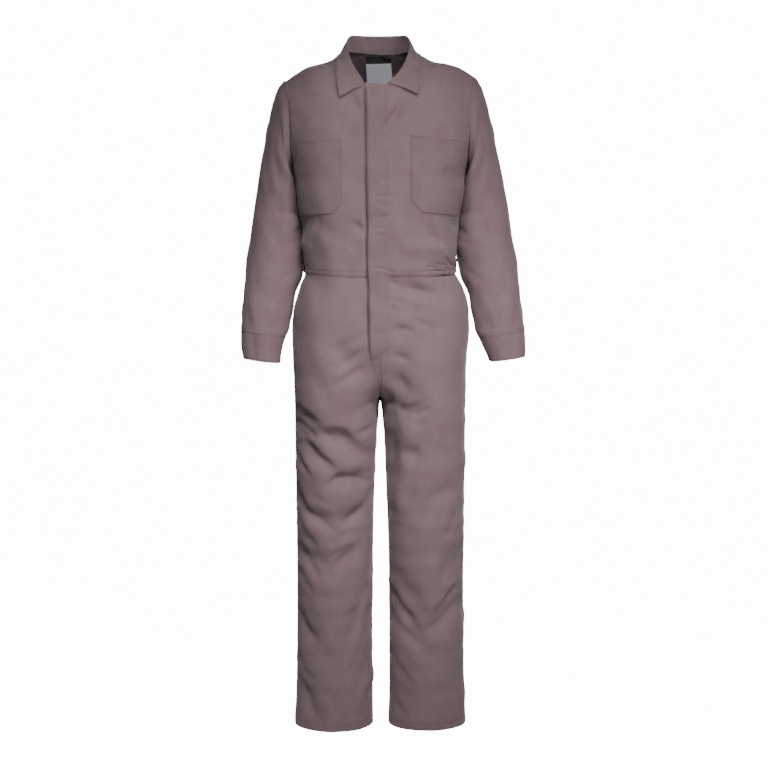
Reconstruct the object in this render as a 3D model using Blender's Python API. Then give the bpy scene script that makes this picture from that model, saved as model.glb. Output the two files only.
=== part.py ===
"""Boiler suit, standing as it does when worn, with nobody in it.

Every piece is a wall of cloth lofted through short tables of sections.  The front faces -Y, the
wearer's left is +X and +Z is up.  The origin is the middle of the neck, level with the nape.
"""
import math

import bpy
import numpy as np
from mathutils import Vector
from mathutils.bvhtree import BVHTree

# Driving dimensions, in metres.
CLOTH = 0.0015                 # wall of one layer of twill
SEAM_GAP = 0.0003              # clearance kept between two pieces where they are sewn
PATCH_LIFT = 0.0005            # clearance under a piece that lies on a panel
LIFT_ROUNDS = 5                # rounds and samples used to keep such a piece clear of the panel
LIFT_PARTS = 4
SLEEVE_CLEARANCE = 0.0014      # between a sleeve's wall and the bodice beside it
ELLIPSE_HANDLE = 0.5523        # Bezier handle of a quarter ellipse
NECK_SHIFT = -0.0035           # the neck sits a little to the wearer's right
RIGHT_LEG_INSET = 0.0035       # the leg at +X hangs a little further from the middle
MID_SHARE = 0.42               # share of a panel's columns between its centre edge and its middle

LEG_COLUMNS = 10
LEG_ROWS = 34
BODICE_COLUMNS = 10
ROWS_BELOW_UNDERARM = 8
SLEEVE_RINGS = 15
CUFF_RINGS = 4

# Bodice fronts: one row for each level, from the waist seam to the shoulder seam.  "centre" is the
# front edge and then the neckline, "side" is the side seam and then the armhole.
PANEL_COLUMNS = ("x_centre", "y_centre", "z_centre", "x_mid", "y_mid", "z_mid",
                 "x_side", "y_side", "z_side", "wrap", "fullness")
BODICE_FRONT = (
    (0.000, -0.119, -0.522, 0.075, -0.117, -0.521, 0.1760, 0.000, -0.515, 0.0, 1.00),
    (0.000, -0.125, -0.470, 0.080, -0.123, -0.468, 0.1790, 0.000, -0.462, 0.0, 1.00),
    (0.000, -0.132, -0.400, 0.085, -0.130, -0.397, 0.1865, 0.000, -0.392, 0.0, 1.00),
    (0.000, -0.136, -0.345, 0.090, -0.134, -0.342, 0.1935, 0.000, -0.338, 0.0, 1.00),
    (0.000, -0.137, -0.300, 0.092, -0.135, -0.297, 0.1985, 0.000, -0.292, 0.0, 0.98),
    (0.000, -0.136, -0.250, 0.095, -0.133, -0.244, 0.2035, -0.050, -0.240, 0.0, 0.75),
    (0.000, -0.131, -0.200, 0.096, -0.126, -0.190, 0.2055, -0.070, -0.182, 0.0, 0.62),
    (0.000, -0.122, -0.150, 0.100, -0.115, -0.138, 0.2085, -0.066, -0.128, 0.0, 0.58),
    (0.000, -0.1035, -0.0905, 0.105, -0.094, -0.089, 0.2145, -0.047, -0.093, 0.0, 0.50),
    (0.031, -0.0965, -0.0860, 0.115, -0.072, -0.062, 0.2195, -0.026, -0.076, 0.0, 0.45),
    (0.062, -0.055, -0.045, 0.132, -0.037, -0.037, 0.2230, -0.008, -0.0695, 0.0, 0.45),
    (0.073, 0.005, -0.001, 0.145, 0.008, -0.031, 0.2245, 0.012, -0.0675, 0.0, 0.45),
)
BODICE_BACK = (
    (0.000, 0.100, -0.522, 0.075, 0.102, -0.521, 0.1760, 0.000, -0.515, 0.0, 1.00),
    (0.000, 0.106, -0.470, 0.080, 0.110, -0.468, 0.1790, 0.000, -0.462, 0.0, 1.00),
    (0.000, 0.115, -0.400, 0.085, 0.121, -0.397, 0.1865, 0.000, -0.392, 0.0, 1.00),
    (0.000, 0.121, -0.345, 0.090, 0.128, -0.342, 0.1935, 0.000, -0.338, 0.0, 1.00),
    (0.000, 0.125, -0.300, 0.092, 0.132, -0.297, 0.1985, 0.000, -0.292, 0.0, 0.98),
    (0.000, 0.127, -0.250, 0.095, 0.134, -0.244, 0.2035, 0.060, -0.240, 0.0, 0.75),
    (0.000, 0.127, -0.200, 0.098, 0.131, -0.190, 0.2035, 0.080, -0.182, 0.0, 0.62),
    (0.000, 0.124, -0.145, 0.102, 0.122, -0.136, 0.2065, 0.079, -0.128, 0.0, 0.58),
    (0.000, 0.116, -0.095, 0.107, 0.107, -0.090, 0.2125, 0.062, -0.095, 0.0, 0.50),
    (0.000, 0.104, -0.045, 0.114, 0.086, -0.058, 0.2185, 0.041, -0.0775, 0.0, 0.45),
    (0.000, 0.089, 0.002, 0.124, 0.062, -0.041, 0.2225, 0.026, -0.0705, 0.0, 0.45),
    (0.031, 0.084, 0.0025, 0.130, 0.050, -0.036, 0.2232, 0.022, -0.0690, 0.0, 0.45),
    (0.058, 0.059, 0.0025, 0.138, 0.031, -0.0325, 0.2240, 0.016, -0.0680, 0.0, 0.45),
    (0.073, 0.005, -0.001, 0.145, 0.008, -0.031, 0.2245, 0.012, -0.0675, 0.0, 0.45),
)
# Table rows at the waist, the underarm, the foot of the neckline and the shoulder, and the rows of
# cells between them.
BODICE_LEVELS = {"front": (0, 4, 8, 11), "back": (0, 4, 10, 13)}
BODICE_CELLS = {"front": (ROWS_BELOW_UNDERARM, 5, 5), "back": (ROWS_BELOW_UNDERARM, 6, 4)}

# Legs: one row for each level, from the waist seam over the crotch to the hem.  "centre" is the
# middle seam down to the crotch and then the inside leg.
LEG_COLUMN_NAMES = ("x_centre", "y_centre_front", "y_centre_back", "z_centre",
                    "x_mid", "y_mid_front", "y_mid_back", "z_mid",
                    "x_side", "z_side", "wrap")
LEG = (
    (0.0000, -0.119, 0.100, -0.522, 0.075, -0.117, 0.102, -0.521, 0.1760, -0.515, 0.00),
    (0.0000, -0.122, 0.110, -0.560, 0.082, -0.121, 0.115, -0.558, 0.1930, -0.553, 0.00),
    (0.0000, -0.124, 0.121, -0.603, 0.088, -0.124, 0.128, -0.602, 0.2030, -0.600, 0.00),
    (0.0000, -0.123, 0.130, -0.652, 0.093, -0.125, 0.139, -0.652, 0.2065, -0.652, 0.00),
    (0.0000, -0.117, 0.132, -0.700, 0.097, -0.124, 0.144, -0.702, 0.2025, -0.704, 0.05),
    (0.0000, -0.102, 0.123, -0.745, 0.099, -0.122, 0.144, -0.750, 0.2015, -0.755, 0.15),
    (0.0000, -0.075, 0.096, -0.780, 0.100, -0.120, 0.140, -0.787, 0.2010, -0.793, 0.38),
    (0.0000, -0.036, 0.053, -0.801, 0.102, -0.118, 0.135, -0.815, 0.2005, -0.822, 0.65),
    (0.0000, 0.005, 0.005, -0.808, 0.103, -0.115, 0.130, -0.838, 0.2000, -0.848, 0.90),
    (0.0055, 0.005, 0.005, -0.842, 0.103, -0.111, 0.124, -0.870, 0.2000, -0.882, 1.00),
    (0.0110, 0.003, 0.003, -0.930, 0.104, -0.102, 0.111, -0.950, 0.1990, -0.958, 1.00),
    (0.0155, 0.000, 0.000, -1.060, 0.106, -0.092, 0.097, -1.070, 0.1980, -1.075, 1.00),
    (0.0185, 0.000, 0.000, -1.200, 0.107, -0.086, 0.088, -1.204, 0.1970, -1.207, 1.00),
    (0.0195, 0.000, 0.000, -1.340, 0.108, -0.081, 0.083, -1.342, 0.1975, -1.344, 1.00),
    (0.0198, 0.000, 0.000, -1.480, 0.110, -0.079, 0.080, -1.481, 0.2000, -1.482, 1.00),
    (0.0175, 0.000, 0.000, -1.588, 0.111, -0.080, 0.081, -1.588, 0.2045, -1.588, 1.00),
)

CROTCH_ROW = 8                 # row at the foot of the middle seam
CROTCH_SHARE = CROTCH_ROW / (len(LEG) - 1)

# Sleeves: one row for each ring after the armhole, by its outer and its inner point.
SLEEVE_COLUMNS = ("x_out_left", "x_out_right", "z_out", "x_in_left", "x_in_right", "z_in",
                  "y_mid", "half_depth")
SLEEVE = (
    (0.2365, 0.2385, -0.090, 0.2000, 0.2000, -0.302, 0.011, 0.079),
    (0.2460, 0.2490, -0.124, 0.1990, 0.1990, -0.311, 0.018, 0.080),
    (0.2590, 0.2620, -0.174, 0.1970, 0.1970, -0.325, 0.025, 0.079),
    (0.2725, 0.2745, -0.235, 0.1940, 0.1940, -0.345, 0.030, 0.077),
    (0.2870, 0.2860, -0.305, 0.1890, 0.1890, -0.376, 0.034, 0.075),
    (0.2995, 0.2965, -0.372, 0.1845, 0.1840, -0.414, 0.034, 0.073),
    (0.3090, 0.3065, -0.432, 0.1805, 0.1795, -0.458, 0.029, 0.070),
    (0.3180, 0.3130, -0.485, 0.1880, 0.1825, -0.503, 0.018, 0.067),
    (0.3255, 0.3180, -0.537, 0.2040, 0.1955, -0.552, 0.005, 0.063),
    (0.3320, 0.3225, -0.590, 0.2175, 0.2075, -0.604, -0.008, 0.058),
    (0.3390, 0.3255, -0.645, 0.2320, 0.2230, -0.660, -0.020, 0.052),
)
CUFF = (
    (0.3390, 0.3255, -0.645, 0.2320, 0.2230, -0.660, -0.020, 0.052),
    (0.3402, 0.3250, -0.677, 0.2440, 0.2300, -0.690, -0.026, 0.048),
    (0.3395, 0.3190, -0.707, 0.2600, 0.2375, -0.719, -0.031, 0.044),
)
RING_EASE = 0.22               # share of the sleeve over which the armhole turns into an oval
ANGLE_EASE = 0.55              # share over which its points spread evenly

# Collar: one row for each section, from its front end to the middle of the back.  "roll" is the fold
# at the top and "edge" is the free edge of the fall.
COLLAR_COLUMNS = ("x_roll", "y_roll", "z_roll", "x_edge", "y_edge", "z_edge")
COLLAR = (
    (0.0215, -0.1040, -0.0800, 0.0885, -0.1100, -0.1190),
    (0.0460, -0.0835, -0.0560, 0.0950, -0.0850, -0.0900),
    (0.0635, -0.0480, -0.0210, 0.0970, -0.0480, -0.0500),
    (0.0705, -0.0040, 0.0080, 0.0945, -0.0020, -0.0180),
    (0.0700, 0.0290, 0.0300, 0.0925, 0.0400, -0.0140),
    (0.0590, 0.0610, 0.0425, 0.0740, 0.0800, -0.0100),
    (0.0300, 0.0820, 0.0440, 0.0390, 0.1030, -0.0110),
    (0.0000, 0.0880, 0.0440, 0.0000, 0.1090, -0.0120),
)
COLLAR_INSET = 1               # cells between the front edge and the collar's front end
NECK_FRONT_SHARE = 0.457       # share of the collar that is sewn to the fronts
NECK_MIDDLE = (0.0, 0.0, 0.050)
COLLAR_GAP = 0.0005            # clearance at the neck seam
COLLAR_ROLL_POINT = 4          # first point of a section that belongs to the fall
COLLAR_SECTIONS = 16           # sections in each half
COLLAR_ROLL_WIDTH = 0.0045     # how far the fall stands off the stand at the roll
COLLAR_BULGE = 0.003           # crown of the fall between its roll and its edge

# Folds pressed into the cloth: face, start x, start z, end x, end z, width, depth (minus is a trough).
FOLD_COLUMNS = ("x_start", "z_start", "x_end", "z_end", "width", "depth")
FRONT_FOLDS = (
    (0.060, -0.116, 0.010, -0.196, 0.016, -0.0055),
    (-0.063, -0.119, -0.034, -0.158, 0.016, -0.0035),
    (0.022, -0.530, 0.150, -0.560, 0.018, -0.0080),
    (0.030, -0.585, 0.105, -0.600, 0.018, -0.0050),
    (0.026, -0.640, 0.075, -0.662, 0.018, -0.0050),
    (0.028, -0.750, 0.075, -0.785, 0.020, -0.0105),
    (-0.142, -0.653, -0.036, -0.738, 0.022, -0.0065),
    (-0.192, -0.837, -0.152, -0.876, 0.020, -0.0075),
    (-0.155, -0.875, -0.036, -0.931, 0.022, -0.0135),
    (-0.183, -0.922, -0.107, -0.972, 0.020, -0.0090),
    (-0.112, -1.008, -0.069, -0.984, 0.020, -0.0075),
    (-0.069, -0.984, -0.028, -1.000, 0.020, -0.0075),
    (-0.181, -1.066, -0.093, -1.096, 0.022, -0.0105),
    (-0.093, -1.096, -0.034, -1.058, 0.022, -0.0105),
    (-0.188, -1.157, -0.131, -1.210, 0.024, -0.0120),
    (-0.131, -1.210, -0.053, -1.150, 0.024, -0.0105),
    (-0.036, -1.264, -0.080, -1.420, 0.024, -0.0090),
    (-0.192, -1.333, -0.139, -1.396, 0.022, -0.0090),
    (-0.196, -1.465, -0.150, -1.565, 0.022, -0.0090),
    (0.036, -0.845, 0.092, -0.815, 0.020, -0.0090),
    (0.032, -0.905, 0.110, -0.950, 0.022, -0.0075),
    (0.180, -1.000, 0.115, -1.045, 0.022, -0.0075),
    (0.034, -1.202, 0.098, -1.326, 0.022, -0.0090),
    (0.036, -1.285, 0.112, -1.395, 0.022, -0.0090),
    (0.192, -1.157, 0.140, -1.235, 0.022, -0.0090),
    (0.192, -1.273, 0.125, -1.340, 0.022, -0.0090),
    (0.105, -0.405, 0.168, -0.440, 0.018, -0.0055),
    (-0.168, -0.395, -0.095, -0.425, 0.018, -0.0055),
)
BACK_FOLDS = (
    (-0.155, -0.435, -0.030, -0.450, 0.020, 0.0065),
    (0.020, -0.445, 0.150, -0.430, 0.020, 0.0065),
    (-0.185, -0.255, -0.115, -0.315, 0.022, -0.0065),
    (0.180, -0.250, 0.120, -0.320, 0.022, -0.0065),
    (0.035, -0.795, 0.150, -0.843, 0.024, -0.0120),
    (-0.030, -0.800, -0.160, -0.835, 0.024, -0.0120),
    (0.045, -0.890, 0.150, -0.925, 0.022, -0.0090),
    (-0.050, -0.900, -0.140, -0.938, 0.022, -0.0090),
    (0.045, -1.060, 0.165, -1.105, 0.024, -0.0105),
    (-0.170, -1.070, -0.060, -1.100, 0.024, -0.0105),
    (0.055, -1.160, 0.150, -1.140, 0.024, -0.0090),
    (-0.150, -1.175, -0.050, -1.155, 0.024, -0.0090),
    (0.175, -1.330, 0.110, -1.420, 0.024, -0.0075),
    (-0.060, -1.330, -0.120, -1.440, 0.024, -0.0075),
)

# Pieces that lie on the fronts.
FLY_FREE_EDGE = (-0.0315, -0.0270, -0.0225)    # x at the neck, the waist and the foot
FLY_SEWN_EDGE = (0.0165, 0.0190, 0.0200)
FLY_TOP = -0.0920
WAIST_LEVEL = -0.522
FLY_FOOT = -0.700
FLY_WALL = 0.0016
FLY_ROWS = 28
FLY_COLUMNS = 3
CHEST_POCKETS = {              # x of the inner edge, top z at both edges, bottom z, outer edge x
    "chest_pocket_right": dict(x_inner=-0.0855, z_top_inner=-0.2095, z_top_outer=-0.2150,
                               z_bottom_inner=-0.3740, z_bottom_outer=-0.3830,
                               x_outer_top=-0.1960, x_outer_bottom=-0.1835, chamfer=0.020),
    "chest_pocket_left": dict(x_inner=0.0700, z_top_inner=-0.2015, z_top_outer=-0.2130,
                              z_bottom_inner=-0.3720, z_bottom_outer=-0.3810,
                              x_outer_top=0.1960, x_outer_bottom=0.1825, chamfer=0.026),
}
POCKET_WALL = 0.0012
POCKET_CELLS = 8
ELASTIC_HEIGHT = 0.035         # gathered band above the waist seam, round the back
ELASTIC_WALL = 0.0012
ELASTIC_RIBS = 3
ELASTIC_RIB_RISE = 0.0012
ELASTIC_COLUMNS = 20
ELASTIC_RISE = 0.003           # height of its lower edge over the waist seam
MOUTH_TOP = -0.562             # opening of the side pockets
MOUTH_FOOT = -0.702
MOUTH_WIDTH = 0.011
FACING_REACH = 0.17            # share of the panel's width that the pocket facing covers
FACING_WALL = 0.0012
ZIP_HALF_WIDTH = 0.014
ZIP_ROWS = 22
ZIP_WALL = 0.0012
LABEL_HALF_WIDTH = 0.0300
LABEL_WALL = 0.0008
BRAND_LABEL_Z = (-0.0030, -0.0185)
CARE_LABEL_Z = (-0.0195, -0.0690)
NAPE_Y = 0.088                 # where the labels hang
LABEL_LEAN = 0.05              # how far a label leans back as it hangs

COLOURS = {
    "cloth": ((0.165, 0.132, 0.135, 1.0), 0.85),
    "zip_tape": ((0.120, 0.098, 0.100, 1.0), 0.70),
    "label_dark": ((0.012, 0.012, 0.013, 1.0), 0.55),
    "label_light": ((0.800, 0.800, 0.800, 1.0), 0.60),
}


def named_columns(names, rows):
    """A table as one array for each named column."""
    return {name: np.array(column) for name, column in zip(names, zip(*rows))}


def leg_table(face):
    """The leg's sections for its front or its back, in the panel's own columns."""
    leg = named_columns(LEG_COLUMN_NAMES, LEG)
    table = {name: leg[name] for name in ("x_centre", "z_centre", "x_mid", "z_mid",
                                          "x_side", "z_side", "wrap")}
    table["y_centre"] = leg["y_centre_" + face]
    table["y_mid"] = leg["y_mid_" + face]
    table["y_side"] = np.zeros(len(LEG))
    table["fullness"] = np.ones(len(LEG))
    return table


PANELS = {
    ("bodice", "front"): named_columns(PANEL_COLUMNS, BODICE_FRONT),
    ("bodice", "back"): named_columns(PANEL_COLUMNS, BODICE_BACK),
    ("leg", "front"): leg_table("front"),
    ("leg", "back"): leg_table("back"),
}
FOLDS = {"front": named_columns(FOLD_COLUMNS, FRONT_FOLDS), "back": named_columns(FOLD_COLUMNS, BACK_FOLDS)}


def smooth_step(value):
    value = np.clip(value, 0.0, 1.0)
    return value * value * (3.0 - 2.0 * value)


def monotone_slopes(column):
    """Slopes at the rows of a column that let no curve through them overshoot."""
    steps = np.diff(column)
    before, after = steps[:-1], steps[1:]
    total = np.where(before + after == 0.0, 1.0, before + after)
    inside = np.where(before * after > 0.0, 2.0 * before * after / total, 0.0)
    return np.concatenate([steps[:1], inside, steps[-1:]])


def along(column, share):
    """A column of a table read at a share of its length, on a smooth curve through its rows."""
    place = np.clip(share, 0.0, 1.0) * (len(column) - 1)
    row = np.minimum(place.astype(int), len(column) - 2)
    part = place - row
    slope = monotone_slopes(column)
    start, end = column[row], column[row + 1]
    cubic = 2.0 * part ** 3 - 3.0 * part ** 2 + 1.0
    return (cubic * start + (1.0 - cubic) * end
            + (part ** 3 - 2.0 * part ** 2 + part) * slope[row]
            + (part ** 3 - part ** 2) * slope[row + 1])


def bezier(first, second, third, fourth, part):
    part = part[..., None]
    rest = 1.0 - part
    return (rest ** 3 * first + 3.0 * rest ** 2 * part * second
            + 3.0 * rest * part ** 2 * third + part ** 3 * fourth)


def corner(table, name, share):
    return np.stack([along(table[axis + name], share) for axis in ("x_", "y_", "z_")], axis=-1)


def smooth_form(piece, face, side, across, up):
    """Points of a panel's outer face: across runs from centre to side, up along its rows."""
    table = PANELS[piece, face]
    across, up = np.broadcast_arrays(np.asarray(across, float), np.asarray(up, float))
    centre, middle, edge = (corner(table, name, up) for name in ("centre", "mid", "side"))
    wrap = along(table["wrap"], up)
    fullness = along(table["fullness"], up)
    inner, outer = middle - centre, edge - middle
    handle = ELLIPSE_HANDLE
    leave_centre = np.stack([(1.0 - wrap) * handle * inner[..., 0], wrap * handle * inner[..., 1],
                             inner[..., 2] / 3.0], axis=-1)
    reach_middle = np.stack([handle * inner[..., 0], 0.0 * wrap, inner[..., 2] / 3.0], axis=-1)
    leave_middle = np.stack([handle * outer[..., 0], 0.0 * wrap, outer[..., 2] / 3.0], axis=-1)
    reach_side = np.stack([(1.0 - fullness) * handle * outer[..., 0], fullness * handle * outer[..., 1],
                           outer[..., 2] / 3.0], axis=-1)
    near = bezier(centre, centre + leave_centre, middle - reach_middle, middle,
                  np.clip(across / MID_SHARE, 0.0, 1.0))
    far = bezier(middle, middle + leave_middle, edge - reach_side, edge,
                 np.clip((across - MID_SHARE) / (1.0 - MID_SHARE), 0.0, 1.0))
    points = np.where((across < MID_SHARE)[..., None], near, far)
    points[..., 0] *= side
    if piece == "bodice":
        points[..., 0] += NECK_SHIFT * smooth_step((up - 0.6) / 0.3) * (1.0 - across) ** 2
    elif side > 0:
        points[..., 0] += RIGHT_LEG_INSET * smooth_step((up - 0.5) / 0.2) * (1.0 - 0.7 * across)
    return points


def fold_depth(face, points):
    """How far the folds move the cloth out at each point, seen from the front."""
    depth = np.zeros(points.shape[:-1])
    folds = FOLDS[face]
    for number in range(len(folds["depth"])):
        start = np.array([folds["x_start"][number], folds["z_start"][number]])
        run = np.array([folds["x_end"][number], folds["z_end"][number]]) - start
        offset = points[..., [0, 2]] - start
        share = np.clip(offset @ run / (run @ run), 0.0, 1.0)
        distance = np.linalg.norm(offset - share[..., None] * run, axis=-1)
        fade = 0.35 + 0.65 * np.sin(math.pi * share)
        depth += folds["depth"][number] * fade * np.exp(-(distance / folds["width"][number]) ** 2)
    return depth


def unit(vectors):
    return vectors / np.maximum(np.linalg.norm(vectors, axis=-1, keepdims=True), 1e-12)


def outward_turn(piece, face, side):
    """+1 where across times up points out of the garment, else -1."""
    return side * (1.0 if face == "front" else -1.0) * (1.0 if piece == "bodice" else -1.0)


def form_normals(piece, face, side, across, up):
    """Outward normals of the smooth form."""
    step = 0.004
    low_across, high_across = np.clip(across - step, 0, 1), np.clip(across + step, 0, 1)
    low_up, high_up = np.clip(up - step, 0, 1), np.clip(up + step, 0, 1)
    tangent = (smooth_form(piece, face, side, high_across, up)
               - smooth_form(piece, face, side, low_across, up))
    climb = (smooth_form(piece, face, side, across, high_up)
             - smooth_form(piece, face, side, across, low_up))
    normals = np.cross(tangent, climb) * outward_turn(piece, face, side)
    middle_seam = up < CROTCH_SHARE if piece == "leg" else up < 2.0
    normals[..., 0] *= np.where(middle_seam, smooth_step(across / 0.08), 1.0)
    return unit(normals)


def form(piece, face, side, across, up):
    """The panel's outer face with its folds.  The folds fade out at the seams that cross them."""
    across, up = np.broadcast_arrays(np.asarray(across, float), np.asarray(up, float))
    points = smooth_form(piece, face, side, across, up)
    normals = form_normals(piece, face, side, across, up)
    fade = smooth_step((1.0 - across) / 0.12)
    if piece == "leg":
        fade = fade * np.where(up > 0.5, smooth_step(across / 0.12), 1.0)
    return points + normals * (fold_depth(face, points) * fade)[..., None]


def locate(piece, face, side, x, z):
    """Panel coordinates of the point seen at x and z from the front."""
    table = PANELS[piece, face]
    shares = np.linspace(0.0, 1.0, len(table["z_mid"]))
    order = np.argsort(table["z_mid"])
    up = np.interp(z, table["z_mid"][order], shares[order])
    across = np.abs(x) / along(table["x_side"], up)
    step = 0.002
    for _ in range(14):
        here = smooth_form(piece, face, side, across, up)
        by_across = (smooth_form(piece, face, side, np.clip(across + step, 0, 1), up)
                     - smooth_form(piece, face, side, np.clip(across - step, 0, 1), up)) / (2 * step)
        by_up = (smooth_form(piece, face, side, across, np.clip(up + step, 0, 1))
                 - smooth_form(piece, face, side, across, np.clip(up - step, 0, 1))) / (2 * step)
        miss_x, miss_z = x - here[..., 0], z - here[..., 2]
        spread = by_across[..., 0] * by_up[..., 2] - by_up[..., 0] * by_across[..., 2]
        spread = np.where(np.abs(spread) < 1e-6, 1e-6, spread)
        move_across = (miss_x * by_up[..., 2] - by_up[..., 0] * miss_z) / spread
        move_up = (by_across[..., 0] * miss_z - by_across[..., 2] * miss_x) / spread
        across = np.clip(across + np.clip(move_across, -0.1, 0.1), 0.0, 1.0)
        up = np.clip(up + np.clip(move_up, -0.05, 0.05), 0.0, 1.0)
    return across, up


def front_place(x, z):
    """Point and outward normal of the smooth front at x and z, on the bodice or on a leg."""
    x, z = np.broadcast_arrays(np.asarray(x, float), np.asarray(z, float))
    points = np.zeros(x.shape + (3,))
    normals = np.zeros(x.shape + (3,))
    table = PANELS["bodice", "front"]
    waist_x = [0.0, table["x_side"][0]]
    waist_z = [table["z_centre"][0], table["z_side"][0]]
    above = z > np.interp(np.abs(x), waist_x, waist_z)
    for side in (-1.0, 1.0):
        for piece in ("bodice", "leg"):
            mine = ((x >= 0.0) == (side > 0.0)) & (above == (piece == "bodice"))
            if mine.any():
                across, up = locate(piece, "front", side, x[mine], z[mine])
                points[mine] = form(piece, "front", side, across, up)
                normals[mine] = form_normals(piece, "front", side, across, up)
    return points, normals


def add_material(name):
    colour, roughness = COLOURS[name]
    material = bpy.data.materials.get(name) or bpy.data.materials.new(name)
    material.use_nodes = True
    shader = material.node_tree.nodes["Principled BSDF"]
    shader.inputs["Base Color"].default_value = colour
    shader.inputs["Roughness"].default_value = roughness
    shader.inputs["Metallic"].default_value = 0.0
    return material


def grid_faces(rows, columns, closed, first, flip):
    """Triangles of a grid of points, all split along the same diagonal."""
    faces = []
    for row in range(rows - 1):
        for column in range(columns if closed else columns - 1):
            after = (column + 1) % columns
            low, low_after = row * columns + column, row * columns + after
            high, high_after = low + columns, low_after + columns
            for corners in ((low, low_after, high_after), (low, high_after, high)):
                faces.append(tuple(first + index for index in (corners[::-1] if flip else corners)))
    return faces


def add_wall(name, outer, inner, material, collection, closed=False, slit=None):
    """One closed body between two grids of points.

    A closed grid runs round a tube.  A slit is a column and a row: the grid is open after that
    column, and its two sides are one from the first row up to that row.
    """
    rows, columns = outer.shape[:2]
    count = rows * columns
    faces = grid_faces(rows, columns, closed, 0, False)
    if slit is not None:
        column, last_joined = slit
        beside = {row * columns + column + 1 for row in range(rows)}
        faces = [face for face in faces
                 if not (beside & set(face) and {index - 1 for index in beside} & set(face))]
        joined = {row * columns + column + 1: row * columns + column for row in range(last_joined + 1)}
        faces = [tuple(joined.get(index, index) for index in face) for face in faces]
    ways = {(start, end) for face in faces for start, end in zip(face, face[1:] + face[:1])}
    rims = [(end, start, start + count, end + count) for start, end in sorted(ways) if (end, start) not in ways]
    faces += [tuple(index + count for index in face[::-1]) for face in faces]
    faces += rims
    used = sorted({index for face in faces for index in face})
    place = {index: number for number, index in enumerate(used)}
    vertices = np.concatenate([outer.reshape(-1, 3), inner.reshape(-1, 3)])[used]
    mesh = bpy.data.meshes.new(name)
    mesh.from_pydata([tuple(point) for point in vertices], [],
                     [tuple(place[index] for index in face) for face in faces])
    mesh.update()
    if signed_volume(mesh) < 0.0:
        mesh.flip_normals()
    mesh.shade_smooth()
    mesh.materials.append(add_material(material))
    piece = bpy.data.objects.new(name, mesh)
    collection.objects.link(piece)
    return piece


def signed_volume(mesh):
    total = 0.0
    for polygon in mesh.polygons:
        corners = [mesh.vertices[index].co for index in polygon.vertices]
        for second, third in zip(corners[1:-1], corners[2:]):
            total += corners[0].dot(second.cross(third)) / 6.0
    return total


class Skin:
    """Outward directions shared by the panels that meet at a seam, so that their walls stay parallel."""

    def __init__(self):
        self.sums = {}
        self.fixed = {}

    @staticmethod
    def key(point):
        return tuple(int(round(value * 20000.0)) for value in point)

    def add(self, grid, turn):
        rows, columns = grid.shape[:2]
        corner_points = grid.reshape(-1, 3)
        for face in grid_faces(rows, columns, False, 0, False):
            first, second, third = (corner_points[index] for index in face)
            normal = np.cross(second - first, third - first) * turn
            for index in face:
                key = self.key(corner_points[index])
                self.sums[key] = self.sums.get(key, 0.0) + normal

    def fix(self, point, direction):
        self.fixed[self.key(point)] = unit(direction)

    def normals(self, grid):
        result = np.zeros(grid.shape)
        for index in np.ndindex(grid.shape[:2]):
            key = self.key(grid[index])
            direction = self.fixed.get(key)
            result[index] = unit(self.sums[key]) if direction is None else direction
        return result


def trim(grid, edges, gap=SEAM_GAP / 2.0):
    """Draw the named edges of a grid back from the seam."""
    grid = grid.copy()
    for edge in edges:
        view = {"first_row": grid, "last_row": grid[::-1],
                "first_column": grid.transpose(1, 0, 2), "last_column": grid.transpose(1, 0, 2)[::-1]}[edge]
        view[0] += unit(view[1] - view[0]) * gap
    return grid


def bodice_rows(face):
    """Shares of the rows of a bodice panel, with one at the underarm and one at the neckline's foot."""
    levels = BODICE_LEVELS[face]
    rows = [np.linspace(low, high, cells + 1)[:-1]
            for low, high, cells in zip(levels[:-1], levels[1:], BODICE_CELLS[face])]
    return np.append(np.concatenate(rows), levels[-1]) / levels[-1]


def leg_rows():
    return np.linspace(0.0, 1.0, LEG_ROWS + 1)


def level_share(piece, face, column, z):
    """Share of a panel's rows at which one of its edges reaches a level."""
    table = PANELS[piece, face]
    shares = np.linspace(0.0, 1.0, len(table[column]))
    order = np.argsort(table[column])
    return np.interp(z, table[column][order], shares[order])


def armhole(side):
    """Points round an armhole, from the shoulder down the front and up the back."""
    front = form("bodice", "front", side, 1.0, bodice_rows("front")[ROWS_BELOW_UNDERARM:])
    back = form("bodice", "back", side, 1.0, bodice_rows("back")[ROWS_BELOW_UNDERARM:])
    return np.concatenate([front[::-1], back[1:-1]])


def neck_edges(grids, skin, side):
    """Outer and inner edge of the neckline, a seam's gap above it, from the collar's end to the nape."""
    front_start = sum(BODICE_CELLS["front"][:2]) + COLLAR_INSET
    back_start = sum(BODICE_CELLS["back"][:2])
    points, normals = [], []
    for face, start, order in (("front", front_start, 1), ("back", back_start, -1)):
        grid = grids["bodice", face, side]
        points.append(grid[start:, 0][::order])
        normals.append(skin.normals(grid)[start:, 0][::order])
    points = np.concatenate([points[0], points[1][1:]])
    normals = np.concatenate([normals[0], normals[1][1:]])
    away = unit(np.cross(np.gradient(points, axis=0), normals))
    away *= np.sign(((np.array(NECK_MIDDLE) - points) * away).sum(axis=1, keepdims=True))
    outer = points + away * COLLAR_GAP
    return outer, outer - normals * CLOTH


def resample(points, count):
    """A line of points read at even steps from vertex to vertex."""
    places = np.linspace(0.0, len(points) - 1.0, count)
    return np.stack([np.interp(places, np.arange(len(points)), points[:, axis]) for axis in range(3)], axis=1)


def ring_frame(table, side, share):
    """Middle, outward reach and half depth of a sleeve's ring."""
    suffix = "_right" if side < 0 else "_left"
    share = np.asarray(share, float)
    outer = np.array([side * along(table["x_out" + suffix], share), 0.0, along(table["z_out"], share)])
    inner = np.array([side * along(table["x_in" + suffix], share), 0.0, along(table["z_in"], share)])
    middle = (outer + inner) / 2.0
    middle[1] = along(table["y_mid"], share)
    return middle, (outer - inner) / 2.0, along(table["half_depth"], share)


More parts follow.
